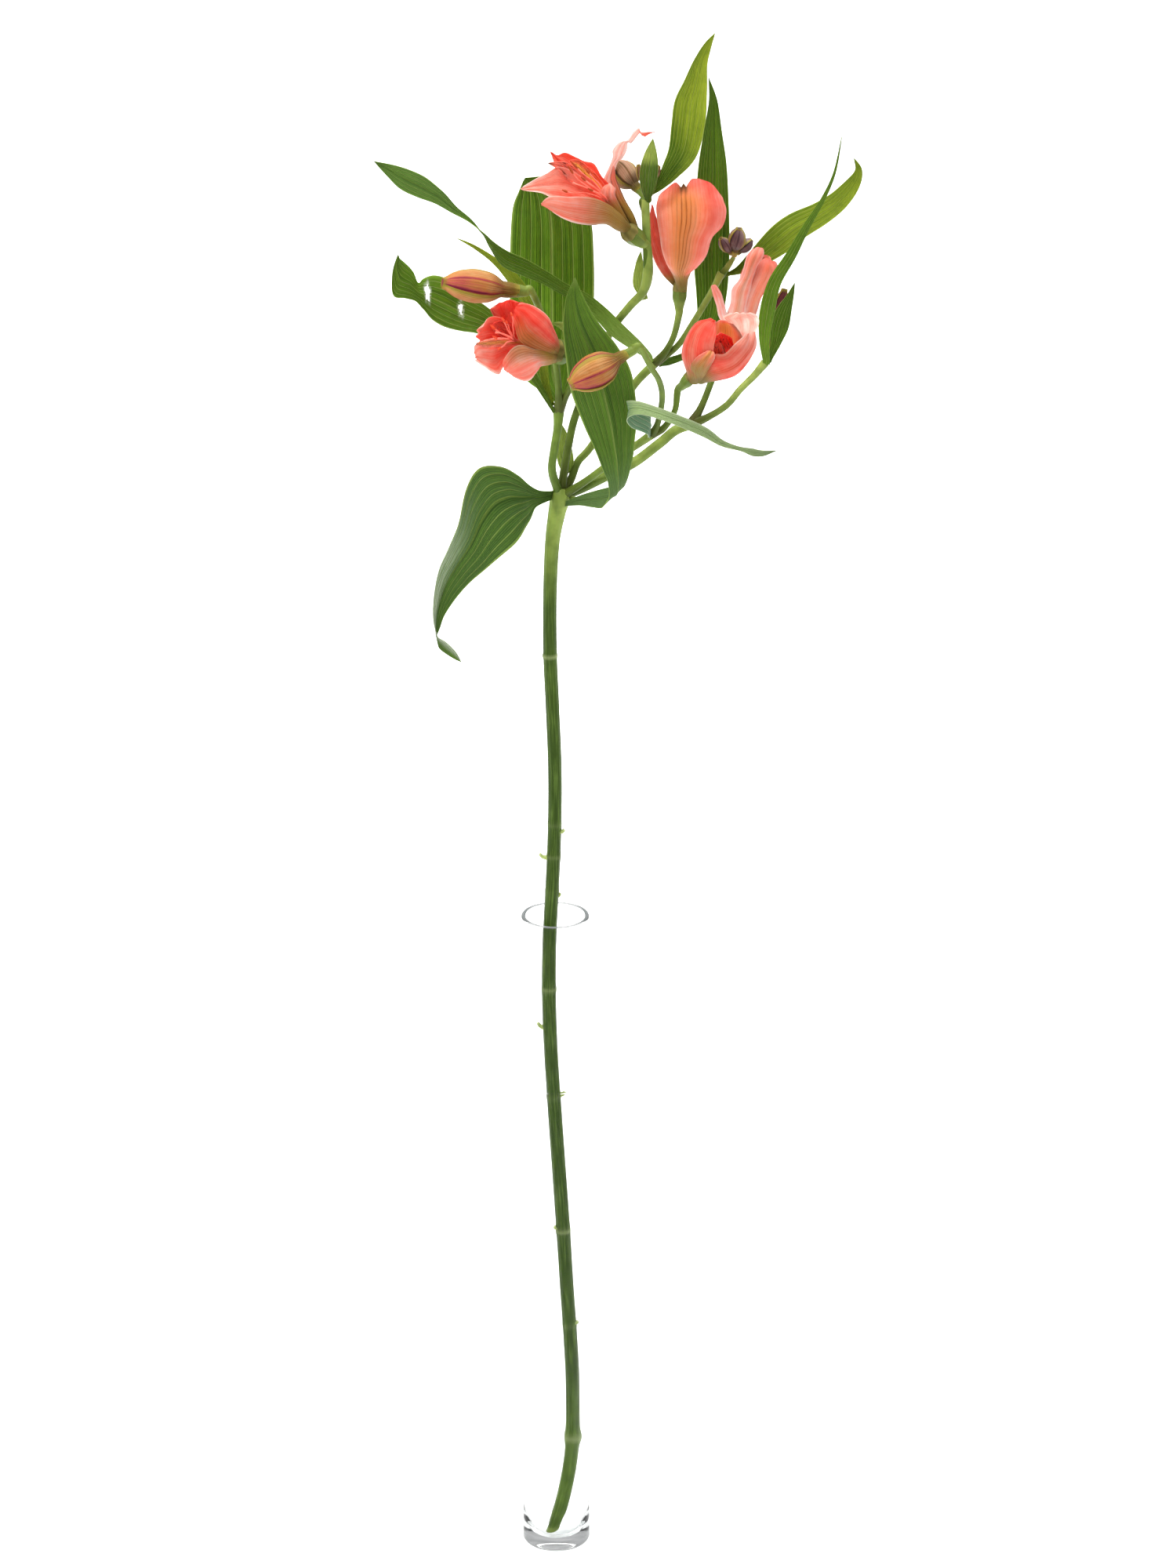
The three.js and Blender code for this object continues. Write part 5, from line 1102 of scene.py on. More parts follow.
# %% The large leaves in front and behind
LEAVES = {
    "leaf_front": {
        "slanted": True, "veins": 5, "midrib": 0.7, "bow": 24, "ribs": 0.4,
        "tone": lambda u, v: (0.32 + 0.25 * rise(u, 0.8, 1) + 0.25 * rise(u, 0.56, 0.3) + 0.1 * v
                              - 0.2 * hill(v, 0.12, 0.1)),
        "cool": lambda u, v: 0.12 + 0.55 * rise(u, 0.56, 0.3),
        "pale": lambda u, v: 0.5 * rise(u, 0.95, 1),
        "rows": [
         [5.4, -4.1, 504.2, 2.4, -0.1, 0, 1], [11.5, -12, 508.5, 4.9, 0.06, 0, 1],
         [17, -19, 511.5, 7.6, 0.11, 0, 0.99], [22.5, -26.5, 514.8, 9.5, 0.3, 0.2, 0.9],
         [26.5, -32, 518.5, 8, 0.75, 0.6, 0.45], [27.3, -35.5, 525, 8.8, 0.96, 0.3, 0.1],
         [27, -37, 530.5, 11.9, 0.99, 0.17, 0.08], [26.5, -38, 537, 15.1, 0.99, 0.1, 0.1],
         [25.5, -39.5, 544, 18.2, 0.99, 0.05, 0.13], [23.8, -40.5, 555, 23.5, 1, 0, 0.2],
         [20, -42, 572, 27, 1, 0, 0.25], [16, -42, 585, 22.5, 1, 0, 0.25],
         [10.9, -41, 598, 14.6, 1, 0, 0.25], [8.7, -39, 609, 7.6, 1, 0, 0.25],
         [9, -37, 617, 1, 1, 0, 0.25]]},
    "leaf_drooping": {
        "slanted": True, "veins": 4, "midrib": 0.7, "bow": 24, "ribs": 0.6,
        # Whitish streaks of painted sheen on the outer half of one side.
        "worn": 1.0,
        "tone": lambda u, v: 0.08 + 0.5 * rise(u, 0.85, 1) - 0.05 * v,
        "cool": lambda u, v: 0.2 + 0.5 * rise(-v, -0.2, 1) * rise(u, 0.3, 0.6),
        "rows": [
         [-1.4, -2.3, 507.2, 4, 0, 0, -1], [-6.5, -8.5, 508.5, 6.6, 0.05, 0, -1],
         [-10, -13.5, 510.5, 11.6, 0.2, 0.08, -0.97], [-14, -19, 512.5, 22.6, 0.29, 0.09, -0.95],
         [-19, -24, 514, 32.4, 0.33, 0.12, -0.93], [-25, -28.5, 512.5, 38.2, 0.39, 0.13, -0.91],
         [-30.5, -31.5, 506, 35, 0.43, 0.14, -0.89], [-35.5, -33, 495.5, 26.1, 0.45, 0.15, -0.88],
         [-41, -34, 487, 20, 0.45, 0.12, -0.89], [-46, -35, 478.5, 15.4, 0.48, 0.15, -0.86],
         [-49.5, -35, 468, 9.1, 0.52, 0.25, -0.82], [-50.7, -34, 459, 5.1, 0.48, 0.5, -0.72],
         [-50.5, -33.5, 453.5, 2.4, -0.1, 0.6, -0.8], [-48, -34, 450, 5.1, -0.65, 0.39, -0.65],
         [-44, -36, 447, 4.4, -0.77, 0.3, -0.55], [-40, -38, 444, 0.8, -0.75, 0, -0.66]]},
    "leaf_broad_back": {
        "slanted": True, "veins": 4, "midrib": 0.85, "bow": 24, "ribs": 0.6,
        "tone": lambda u, v: 0.36 + 0.15 * hill(u, 0.4, 0.2),
        "rows": [
         [2.2, -6.1, 550.2, 2, 1, 0, 0], [1, -1, 554, 12, 1, 0, 0], [-0.5, 4, 559, 25, 1, 0, 0],
         [-1, 9, 568, 32, 1, 0, 0], [-1, 13, 581, 35.6, 1, 0, 0], [-1, 16, 596, 36.6, 1, 0, 0],
         [-1, 17.5, 611, 36, 1, 0, 0], [-1.2, 17.8, 623, 34.6, 1, 0, 0.02],
         [-2.5, 17, 632.5, 30.1, 1, 0, 0.08], [-5, 16.5, 639, 21.8, 0.98, 0, 0.2],
         [-8.5, 16, 643, 11.3, 0.95, 0, 0.31], [-12, 15.5, 644.5, 1.5, 0.95, 0, 0.31]]},
}
print(len(LEAVES), "leaves so far")

# %% The leaves on the left
LEAVES.update({
    "leaf_twisted_left": {
        "slanted": True, "veins": 3, "midrib": 0.3, "bow": 30,
        "tone": lambda u, v: 0.42 + 0.7 * hill(u, 0.08, 0.2) + 0.2 * hill(u, 0.95, 0.1),
        "pale": lambda u, v: 0.75 * hill(u, 0.05, 0.15),
        "cool": lambda u, v: 0.35 * rise(u, 0.62, 0.75),
        "rows": [
         [41.9, 19.6, 560.3, 2.2, 0.7, 0, 0.7], [40.8, 16, 564, 3, 0.73, 0, 0.68],
         [35.4, 8, 571.4, 5.4, 0.76, 0, 0.65], [27, 2, 580.5, 7.2, 0.74, 0, 0.68],
         [19.4, -3, 590.3, 6.6, 0.69, 0, 0.72], [12.3, -6, 597.3, 6, 0.6, 0, 0.8],
         [4.5, -9, 602.5, 5.4, 0.4, 0, 0.92], [-4, -11, 608.5, 6.3, 0.3, 0, 0.95],
         [-12.5, -13, 613.5, 7.6, 0.28, 0, 0.96], [-20.5, -14.5, 617.8, 7.6, 0.4, -0.2, 0.88],
         [-26, -16, 624, 5, 0.4, -0.6, 0.7], [-30, -17.2, 630, 3.2, 0.2, -0.9, 0.3],
         [-35.5, -18, 636, 2.6, -0.2, -0.9, -0.4], [-42, -18, 640.8, 3.6, -0.39, -0.5, -0.77],
         [-48.5, -18, 646.5, 6.8, -0.36, 0, -0.93], [-56, -18, 651, 9.9, -0.4, 0, -0.92],
         [-63, -19, 654.8, 9.7, -0.4, 0, -0.91], [-69, -20, 658.8, 6, -0.4, 0, -0.92],
         [-75.5, -21, 663, 0.8, -0.5, 0, -0.85]]},
    "leaf_narrow_left": {
        "slot": "leaf_bright", "veins": 3, "midrib": 0.4, "bow": 30,
        "tone": lambda u, v: 0.55 + 0.3 * rise(u, 0.4, 1),
        "rows": [
         [-1, -9.1, 552, 1.7, 1, 0, 0.1], [-3.5, -9, 560, 3.4, 1, 0, 0.2],
         [-5.5, -8, 574, 4.7, 1, 0, 0.2], [-8, -7, 588, 6, 1, 0, 0.3], [-12.5, -7, 599, 6, 0.85, 0, 0.5],
         [-19, -8, 609, 5, 0.7, 0, 0.7], [-26, -9, 616, 2.7, 0.6, 0, 0.8],
         [-34, -10, 622, 1.7, 0.6, 0, 0.8], [-41, -11, 626, 0.8, 0.6, 0, 0.8]]},
    "leaf_bitten_left": {
        "slanted": True, "veins": 4, "midrib": 0.5, "bow": 24,
        "tone": lambda u, v: 0.4 + 0.4 * rise(v, 0.2, 1) * hill(u, 0.5, 0.25),
        "bites": [[(-53.5, -20, 604.5), 1.1, 3.6], [(-39.5, -18, 596.5), 1.0, 3.2]],
        "rows": [
         [-0.6, -10.2, 549.2, 1.7, 0.7, 0, 0.7], [-9, -12.5, 565, 3.6, 0.7, 0, 0.7],
         [-16.5, -13.5, 577, 6, 0.6, 0, 0.8], [-22.5, -14, 584, 9, 0.5, 0, 0.87],
         [-29.5, -15, 590, 12.5, 0.36, 0, 0.93], [-38, -16.5, 594.3, 17, 0.24, 0, 0.97],
         [-45.5, -18, 599, 20.7, 0.14, 0, 0.99], [-51, -19, 602, 19.4, 0.09, 0, 1],
         [-55, -20, 604, 13.5, 0, 0.2, 1], [-57.8, -20.7, 605.3, 8.2, 0.1, 0.5, 0.85],
         [-61, -21.5, 608.5, 12, 0.3, 0.5, 0.8], [-65.3, -23, 611.6, 15, 0.35, 0.1, 0.93],
         [-66.6, -24.5, 617.5, 8.6, 0.4, 0, 0.92], [-65.8, -25, 623, 0.9, 0.6, 0, 0.8]]},
})
print(len(LEAVES), "leaves so far")

# %% The leaves at the top
LEAVES.update({
    "leaf_top": {
        "slot": "leaf_bright", "veins": 5, "midrib": 0.25, "bow": 24,
        "tone": lambda u, v: -0.1 + 0.75 * rise(u, 0.15, 0.55) + 0.3 * v,
        "rows": [
         [40.5, 6.4, 639.8, 1.7, 0.8, 0, -0.6], [45, 7, 644, 4.7, 0.8, 0, -0.6],
         [50, 9, 650, 8.7, 0.85, 0, -0.5], [55, 11, 658, 12.7, 0.95, 0, -0.3],
         [57, 12, 669, 14.3, 1, 0, -0.15], [58, 12, 678, 14, 1, 0, -0.15],
         [60, 11, 687, 10.3, 1, 0, -0.2], [62, 9, 697, 6.3, 1, 0, -0.25], [65, 8, 705, 3.6, 0.9, 0, -0.4],
         [68, 6, 711, 0.8, 0.9, 0, -0.45]]},
    "leaf_top_back": {
        "veins": 5, "midrib": 0.3, "bow": 24,
        "tone": lambda u, v: 0.3 + 0.3 * hill(v, 0.35, 0.2),
        "rows": [
         [46.2, 23.3, 558.1, 1.7, 0.4, 0, -0.9], [50, 28, 558, 3.4, 0.4, 0, -0.9],
         [57, 31, 560, 3.4, 0.5, 0, -0.9], [63, 36, 565, 6.8, 0.8, 0, -0.6],
         [67, 40, 574.5, 10.9, 1, 0, -0.2], [68, 43, 584, 13.5, 1, 0, 0], [68, 44, 595, 15.2, 1, 0, 0],
         [68, 44, 610, 15.5, 1, 0, 0], [68, 43, 628, 14.1, 1, 0, 0], [68, 41, 643, 12.1, 1, 0, 0],
         [68, 38, 658, 8, 1, 0, 0], [68, 35, 672.5, 4, 1, 0, 0], [66, 32, 684, 0.8, 1, 0, 0.2]]},
})
print(len(LEAVES), "leaves so far")

# %% The leaves on the right
LEAVES.update({
    "leaf_hooked_right": {
        "slot": "leaf_bright", "veins": 4, "midrib": 0.35, "bow": 30,
        "tone": lambda u, v: 0.15 + 0.35 * rise(u, 0.1, 0.5) + 0.15 * v,
        "rows": [
         [75.1, 31, 596.5, 1.7, 0.5, 0, -0.85], [80, 31, 598.5, 4.1, 0.5, 0, -0.85],
         [87, 32, 603, 8.8, 0.6, 0, -0.8], [96, 34, 610, 12.8, 0.6, 0, -0.8],
         [104, 36, 616, 12.8, 0.5, 0, -0.85], [114, 38, 621, 11.1, 0.5, 0, -0.85],
         [122, 38, 627, 9.1, 0.65, 0, -0.75], [128, 36, 635, 6.7, 0.85, 0, -0.5],
         [130.5, 34, 642, 3.4, 1, 0, 0], [128.5, 33, 648, 0.8, 0.8, 0, 0.6]]},
    "leaf_long_right": {
        "veins": 2, "midrib": 0.4, "bow": 40,
        "tone": lambda u, v: 0.55 + 0.3 * hill(u, 0.05, 0.15),
        "rows": [
         [91, 4.5, 565.6, 3, 1, 0, 0], [90, 1.5, 577, 4.7, 1, 0, 0], [91, 0, 589, 6.7, 1, 0, -0.1],
         [94, -2, 603, 5.7, 0.95, 0, -0.35], [101, -3, 616, 4.7, 0.9, 0, -0.45],
         [107, -3, 628, 3.3, 0.9, 0, -0.45], [114, -2, 640, 2, 0.9, 0, -0.45],
         [119, -1, 652, 1.3, 0.95, 0, -0.3], [122, 0, 668, 0.8, 1, 0, -0.1]]},
    "leaf_short_right": {
        "veins": 3, "midrib": 0.3, "bow": 24,
        "tone": lambda u, v: 0.25 + 0.2 * hill(u, 0.2, 0.2),
        "rows": [
         [92.7, 8.1, 565.7, 2, 0.9, 0, -0.4], [95, 7.5, 573, 4.7, 0.9, 0, -0.4],
         [96.5, 8, 580, 8.1, 0.9, 0, -0.4], [98.5, 9, 587, 6.7, 0.9, 0, -0.4],
         [101, 10, 593, 3.4, 0.9, 0, -0.4], [103, 11, 599, 0.8, 0.9, 0, -0.4]]},
    "leaf_curled": {
        "slot": "leaf_bluish", "veins": 3, "midrib": 0.3, "bow": 40,
        "tone": lambda u, v: 0.6 + 0.4 * hill(u, 0.6, 0.25) - 0.4 * rise(u, 0.9, 0.97),
        "cool": lambda u, v: 0.75 * rise(u, 0.46, 0.34),
        "pale": lambda u, v: (0.35 + 0.45 * rise(v, 0.5, 0.95)) * rise(u, 0.3, 0.5),
        "rows": [
         [41, -24.6, 542.9, 3, 0, 0.3, 1], [40.6, -33, 548, 7, 0, 0, 1], [40.4, -42, 554, 9.5, 0.1, 0, 1],
         [34.5, -50, 560, 10.5, 0, 0.3, 1], [31.5, -56, 564.5, 8, 0, 0.6, 0.8],
         [37, -60, 566.5, 5.8, 0, 0.7, 0.7], [50, -59.5, 562, 5, 0.2, 0.6, 0.7],
         [63, -56, 555, 4.6, 0.3, 0.5, 0.8], [71, -54, 549, 3.6, 0.2, 0.8, 0.5],
         [79, -53, 546, 2.7, 0, 0.9, 0.4], [87, -52, 544, 3.6, 0, -0.2, 1],
         [94, -52, 545, 1, 0, -0.2, 1]]},
})
print(len(LEAVES), "leaves so far")

# %% The bracts
LEAVES.update({
    "bract_upright": {
        "slot": "bract_pale", "veins": 3, "midrib": 0.2, "bow": 40, "tone": lambda u, v: 0.4 + 0.3 * u,
        "rows": [
         [4.5, 4.1, 514.4, 2.2, 1, 0, 0], [5, 5, 519, 6.8, 1, 0, 0], [4, 6.4, 526, 6.8, 1, 0, 0],
         [3.5, 6.4, 532, 4.1, 1, 0, 0], [3, 6, 537, 0.8, 1, 0, 0]]},
    "bract_node": {
        "slot": "bract_pale", "veins": 2, "midrib": 0.2, "bow": 40, "tone": lambda u, v: 0.3 + 0.3 * u,
        "rows": [
         [7.6, -3.2, 506.4, 1.7, 0, 0, 1], [12, -8.5, 507.5, 2.2, 0, 0, 1],
         [17, -12, 511, 0.8, 0, 0, 1]]},
    "bract_top": {
        "slot": "bract_pale", "veins": 3, "midrib": 0.2, "bow": 100,
        "tone": lambda u, v: -0.3 + 1.2 * rise(u, 0.48, 0.72), "ribs": 0.45,
        "rows": [
         [39.9, 3.5, 638.5, 2.8, 1, 0, 0], [40, 1.5, 643, 6.6, 1, 0, 0], [40.2, 1, 649, 8.6, 1, 0, 0],
         [40.7, 1, 655, 8, 1, 0, 0], [41.3, 1.2, 660.5, 5.2, 1, 0, 0], [42, 2, 666, 0.8, 1, 0, 0]]},
    "bract_pedicel": {
        "slot": "bract_pale", "veins": 3, "midrib": 0.2, "bow": 40, "tone": lambda u, v: 0.75 + 0.3 * u,
        "rows": [
         [38.4, 5.2, 595, 2.7, 1, 0, 0.2], [37, 6, 600, 6.7, 1, 0, 0.2], [36.5, 5.8, 608, 4, 1, 0, 0],
         [37, 5, 615, 0.8, 1, 0, 0]]},
    "bract_pale": {
        "slot": "bract_pale", "veins": 2, "midrib": 0.2, "bow": 30, "tone": lambda u, v: 0.95,
        "rows": [
         [12.4, -18.5, 571.5, 1.7, 1, 0, 0], [11, -16, 580, 3.7, 1, 0, 0.3],
         [5, -17, 588, 3.7, 0.3, 0, 1], [-1, -19, 591, 0.8, 0, 0, 1]]},
})
print(len(LEAVES), "leaves and bracts in all")

# %% Leaf sheets
LEAF_THICKNESS = 0.4
ROOT_LENGTH = 1.6
LEAF_SEED = 40
# Rows and columns of points. A bitten leaf has more, so that the edges of its holes are round.
LEAF_GRID = (110, 25)
BITTEN_GRID = (190, 61)
BRACT_GRID = (40, 13)
# A bite goes right through, so its reach from front to back is far more than the blade needs.
BITE_DEPTH = 30


def leaf_grid(rows, count, columns, bow, random, slanted):
    """Points of a blade, bowed and waved, with its root drawn back into what carries it."""
    line = resample(rows, count)
    share = np.linspace(0, 1, count)
    ahead = unit(np.gradient(line[:, :3], axis=0))
    side = line[:, 4:7]
    if not slanted:
        side = side - ahead * np.sum(side * ahead, axis=1, keepdims=True)
    side = unit(side)
    face = unit(np.cross(ahead, side))
    width = np.maximum(line[:, 3] - 0.6 * share ** 12, 0.15)
    v = np.linspace(-1, 1, columns)
    bend = np.clip(math.radians(bow), 0.02, width / 1.2)[:, None]
    across = width[:, None] / bend * np.sin(v * bend / 2)
    lift = width[:, None] / bend * (1 - np.cos(v * bend / 2))
    # The midrib is a shallow fold, and the margin waves a little.
    lift -= 0.05 * width[:, None] * hill(v, 0, 0.12)
    phase, turns = random.uniform(0, 6), random.uniform(2.2, 3.4)
    wave = np.sin(2 * math.pi * turns * share[:, None] + phase + 1.5 * np.sign(v))
    lift += 0.035 * width[:, None] * wave * np.abs(v) ** 3 * rise(share, 0.05, 0.3)[:, None]
    grid = line[:, None, :3] + side[:, None] * across[..., None] + face[:, None] * lift[..., None]
    grid[0] -= ahead[0] * ROOT_LENGTH
    return grid, share[:, None], v[None, :]


def leaf(name, facts, seed):
    """One leaf or bract, with its marks and any bite holes."""
    bites = facts["bites"]
    count, columns = BRACT_GRID
    if name.startswith("leaf"):
        count, columns = BITTEN_GRID if bites else LEAF_GRID
    grid, u, v = leaf_grid(facts["rows"], count, columns, facts["bow"], np.random.default_rng(seed),
                           facts["slanted"])
    # Painted sheen in whitish streaks where a leaf asks for it, and pale worn tissue round each bite.
    worn = facts["worn"] * rise(u, 0.35, 0.7) * rise(-v, -0.2, 0.8)
    holes = None
    for centre, half_width, half_height in bites:
        off = (grid - np.array(centre)) / np.array([half_width, BITE_DEPTH, half_height])
        wobble = 0.2 * np.sin(5 * np.arctan2(off[..., 2], off[..., 0]) + half_height)
        far = np.hypot(off[..., 0] + 0.25 * off[..., 2], off[..., 2]) + wobble
        worn = np.maximum(worn, 1.2 * hill(far, 1, 0.35))
        corner = far < 1
        open_quads = corner[:-1, :-1] & corner[1:, 1:] & corner[1:, :-1] & corner[:-1, 1:]
        holes = open_quads if holes is None else holes | open_quads
    marks = {"along": u, "across": v, "veins": facts["veins"] * math.pi, "ribs": facts["ribs"],
             "midrib": facts["midrib"] * rise(u, 0.95, 0.6), "worn": np.clip(worn, 0, 1)}
    for mark in ("tone", "pale", "cool"):
        marks[mark] = np.clip(facts[mark](u, v), 0, 1)
    thickness = LEAF_THICKNESS * (1 - 0.5 * np.abs(v) ** 6)
    slot = facts["slot"]
    piece(name + "_blade", [sheet(grid, thickness, marks, holes)], LEAF_SKINS[slot], name)


for number, (name, facts) in enumerate(LEAVES.items()):
    leaf(name, {**PLAIN_LEAF, **facts}, LEAF_SEED + number)

# %% [markdown]
# ## Petals
#
# Alstroemeria petals and sepals look alike and are called tepals. The three outer ones are broad,
# heart-shaped fans with a green point in the notch. The three inner ones are narrow spoons, gold
# at the throat and flecked with dark dashes. All have the satin look of thin wet tissue: a soft
# sheen on top of colour that comes mostly from light inside the petal. So the material mixes a
# rough, faintly sheened surface with a Translucent shader in the same colours. Buds have the same
# tissue in duller colours.
#
# Each tepal could be sculpted by hand. Here a sheet is stretched between two edge curves, cupped
# between them and waved at the margin, so each tepal gets its own outline from a few numbers.
# The ones at the back are simpler: a sheet bent along a curve from the base to a tip.

# %% Material: satin tepal tissue
def satin_tepal(name, pale, mid, full, heart, streak="#ab6024", through=0.5):
    """Thin petal tissue. The marks say where it is redder, golden, green, streaked or flecked."""
    material, tree = empty_material(name)
    mark = {title: add(tree, "Attribute", attribute_name=title).outputs["Fac"]
            for title in ("along", "across", "red", "gold", "lime", "dark", "streak", "fleck", "rim")}
    chart = add(tree, "CombineXYZ", {0: mark["along"], 1: mark["across"], 2: mark["rim"]})
    place = add(tree, "NewGeometry").outputs["Position"]
    cloud = add(tree, "TexNoise", {"Vector": place, "Scale": 220.0, "Detail": 3.0})
    cells = add(tree, "TexNoise", {"Vector": place, "Scale": 2600.0, "Detail": 1.0})
    lengthwise = add(tree, "Mapping", {"Vector": chart, "Scale": (2.5, 16, 1)})
    rays = add(tree, "TexNoise", {"Vector": lengthwise, "Scale": 1.0, "Detail": 4.0})
    drift = add(tree, "MapRange", {0: rays, 1: 0.3, 2: 0.7, 3: -0.11, 4: 0.11})
    patch = add(tree, "MapRange", {0: cloud, 1: 0.3, 2: 0.7, 3: -0.08, 4: 0.08})
    moved = add(tree, "Math", {0: drift, 1: patch}, operation="ADD")
    level = add(tree, "Math", {0: mark["red"], 1: moved}, operation="ADD", use_clamp=True)
    ramp = add(tree, "ValToRGB", {0: level})
    stops = [(0.0, pale), (0.38, mid), (0.72, full), (1.0, heart)]
    while len(ramp.color_ramp.elements) < len(stops):
        ramp.color_ramp.elements.new(0.5)
    for stop, (share, colour) in zip(ramp.color_ramp.elements, stops):
        stop.position = share
        stop.color = linear(colour)
    # Nerves: a fan of lines that thin out towards the tip.
    nerve = add(tree, "Math", {0: mark["across"], 1: 26.0}, operation="MULTIPLY")
    bent = add(tree, "Math", {0: rays, 1: 2.2, 2: nerve}, operation="MULTIPLY_ADD")
    lined = add(tree, "Math", {0: add(tree, "Math", {0: bent}, operation="SINE")}, operation="ABSOLUTE")
    thin = add(tree, "MapRange", {0: lined, 1: 0.05, 2: 0.7, 3: 1.0, 4: 0.3})
    drawn = add(tree, "Math", {0: thin, 1: mark["streak"]}, operation="MULTIPLY")
    # Flecks: short dark dashes that lie along the tepal.
    short = add(tree, "Mapping", {"Vector": chart, "Scale": (13, 34, 1)})
    cut = add(tree, "TexNoise", {"Vector": short, "Scale": 1.0, "Detail": 0.0})
    dashes = add(tree, "MapRange", {0: cut, 1: 0.63, 2: 0.68, 3: 0.0, 4: 0.95})
    flecks = add(tree, "Math", {0: dashes, 1: mark["fleck"]}, operation="MULTIPLY")
    # Layers over the red of the ramp: gold, green, nerves, flecks and dark olive, which also carries
    # painted shade.
    colour = ramp
    for share, tint in [(mark["gold"], "#f7c552"), (mark["lime"], "#b5a840"), (drawn, streak),
                        (flecks, "#5a1d18"), (mark["dark"], "#4f4410")]:
        colour = add(tree, "MixRGB", {0: share, 1: colour, 2: linear(tint)})
    veins = add(tree, "Math", {0: lined, 1: 0.5, 2: cells}, operation="MULTIPLY_ADD")
    relief = add(tree, "Math", {0: cloud, 1: 0.8, 2: veins}, operation="MULTIPLY_ADD")
    bump = add(tree, "Bump", {"Strength": 0.5, "Distance": 0.0003, "Height": relief})
    gloss = add(tree, "MapRange", {0: cloud, 3: 0.36, 4: 0.52})
    solid = add(tree, "BsdfPrincipled", {"Base Color": colour, "Roughness": gloss, "Normal": bump,
                                         "IOR": 1.4, "Specular IOR Level": 0.3,
                                         "Sheen Weight": 0.08, "Sheen Roughness": 0.4})
    passing = add(tree, "BsdfTranslucent", {"Color": colour, "Normal": bump})
    surface = add(tree, "MixShader", {0: through, 1: solid, 2: passing})
    add(tree, "OutputMaterial", {"Surface": surface})
    return material


# Each tepal skin: its name, then the four colours from palest to deepest and, in the buds, the
# nerves and how much light passes through.
TEPAL_COLOURS = {
    "petal_coral": ("coral_tepal", "#fdeae4", "#fbae9a", "#f5775f", "#ef4c34"),
    "petal_salmon": ("salmon_tepal", "#fdeae6", "#f8ab9c", "#f07c6c", "#e0503f"),
    "petal_red": ("red_tepal", "#fdeae2", "#f9a592", "#f26a58", "#ee4431"),
    "bud_orange": ("orange_bud_tepal", "#ecc98a", "#dc9450", "#d5655c", "#94284a", "#7d4a1e"),
    "bud_olive": ("olive_bud_tepal", "#e3cfa0", "#d09e80", "#98703f", "#5f4a30", "#5a4620"),
    "bud_plum": ("plum_bud_tepal", "#ab9594", "#836867", "#63474a", "#412b31", "#39242a", 0.2),
    "bud_maroon": ("maroon_bud_tepal", "#a86a62", "#84403f", "#6a2b30", "#4a1d24", "#3a161d"),
}
TEPAL_SKINS = {slot: satin_tepal(*colours) for slot, colours in TEPAL_COLOURS.items()}
print("tepal materials:", ", ".join(TEPAL_SKINS))

# %% A hidden tepal, bent from the base to its tip
# Widths along a tepal, as shares of its width.
FAN = [[0, 0.14], [0.25, 0.36], [0.5, 0.78], [0.75, 1], [0.93, 0.92], [1, 0.86]]
SPOON = [[0, 0.16], [0.35, 0.42], [0.7, 1], [0.9, 0.66], [1, 0.12]]
TEPAL_THICKNESS = 0.3
TEPAL_ROWS = 46
TEPAL_COLUMNS = 29
# A hidden tepal that is wider than this is one of the outer three.
OUTER_WIDTH = 13


def softened(shape, t):
    """Widths between the given shares, with the corners rounded off."""
    shares, widths = np.array(shape).T
    return np.mean([np.interp(t + shift, shares, widths) for shift in np.linspace(-0.07, 0.07, 7)],
                   axis=0)


def tepal_sheet(grid, v, marks):
    """A tepal's closed sheet, which thins out towards its margin."""
    return sheet(grid, TEPAL_THICKNESS * (1 - 0.5 * np.abs(v) ** 8), marks)


def tepal(bloom, row, random):
    """A thin tepal along a bend from the flower's base, with its marks."""
    *tip, width, reach, bulge, look = row
    outer = width > OUTER_WIDTH
    axis, tip = unit(bloom["axis"]), np.array(tip, float)
    out = unit(tip - axis * tip.dot(axis))
    side = np.cross(axis, out)
    start, control = axis * 1.2 + out * 1.3, axis * reach + out * bulge
    u = np.linspace(0, 1, TEPAL_ROWS)[:, None]
    v = np.linspace(-1, 1, TEPAL_COLUMNS)[None, :]
    notch = look.get("notch", 0.1) if outer else 0
    round_off = 0.24 * np.abs(v) ** 2.6 if outer else 0.1 * np.abs(v)
    t = u * (1 - round_off - notch * hill(v, 0, 0.2) + 0.45 * notch * hill(v, 0, 0.05))
    wide = np.maximum(width * softened(FAN if outer else SPOON, t), 0.5)
    t3 = t[..., None]
    middle = (1 - t3) ** 2 * start + 2 * t3 * (1 - t3) * control + t3 ** 2 * tip
    ahead = unit(2 * (1 - t3) * (control - start) + 2 * t3 * (tip - control))
    face = np.cross(ahead, side)
    bend = np.clip(math.radians(look.get("arc", bloom["arc"])), 0.02, wide / 1.2)
    across = wide / bend * np.sin(v * bend / 2)
    lift = wide / bend * (1 - np.cos(v * bend / 2))
    ruffle = 0.035 * width
    phase = random.uniform(0, 6, 3)
    lift += ruffle * rise(t, 0.35, 0.9) * np.abs(v) ** 1.5 * np.sin(9 * t + 2.5 * v + phase[0])
    lift += 0.6 * ruffle * rise(u, 0.7, 1) * np.sin(7 * v + phase[1])
    lift -= 0.25 * hill(v, 0, 0.1) * rise(t, 0.05, 0.4)
    grid = np.array(bloom["base"]) + middle + side * across[..., None] + face * lift[..., None]
    marks = {"along": u, "across": v, "rim": phase[2], **tepal_tints(u, v, t, look["red"], outer)}
    return tepal_sheet(grid, v, marks)


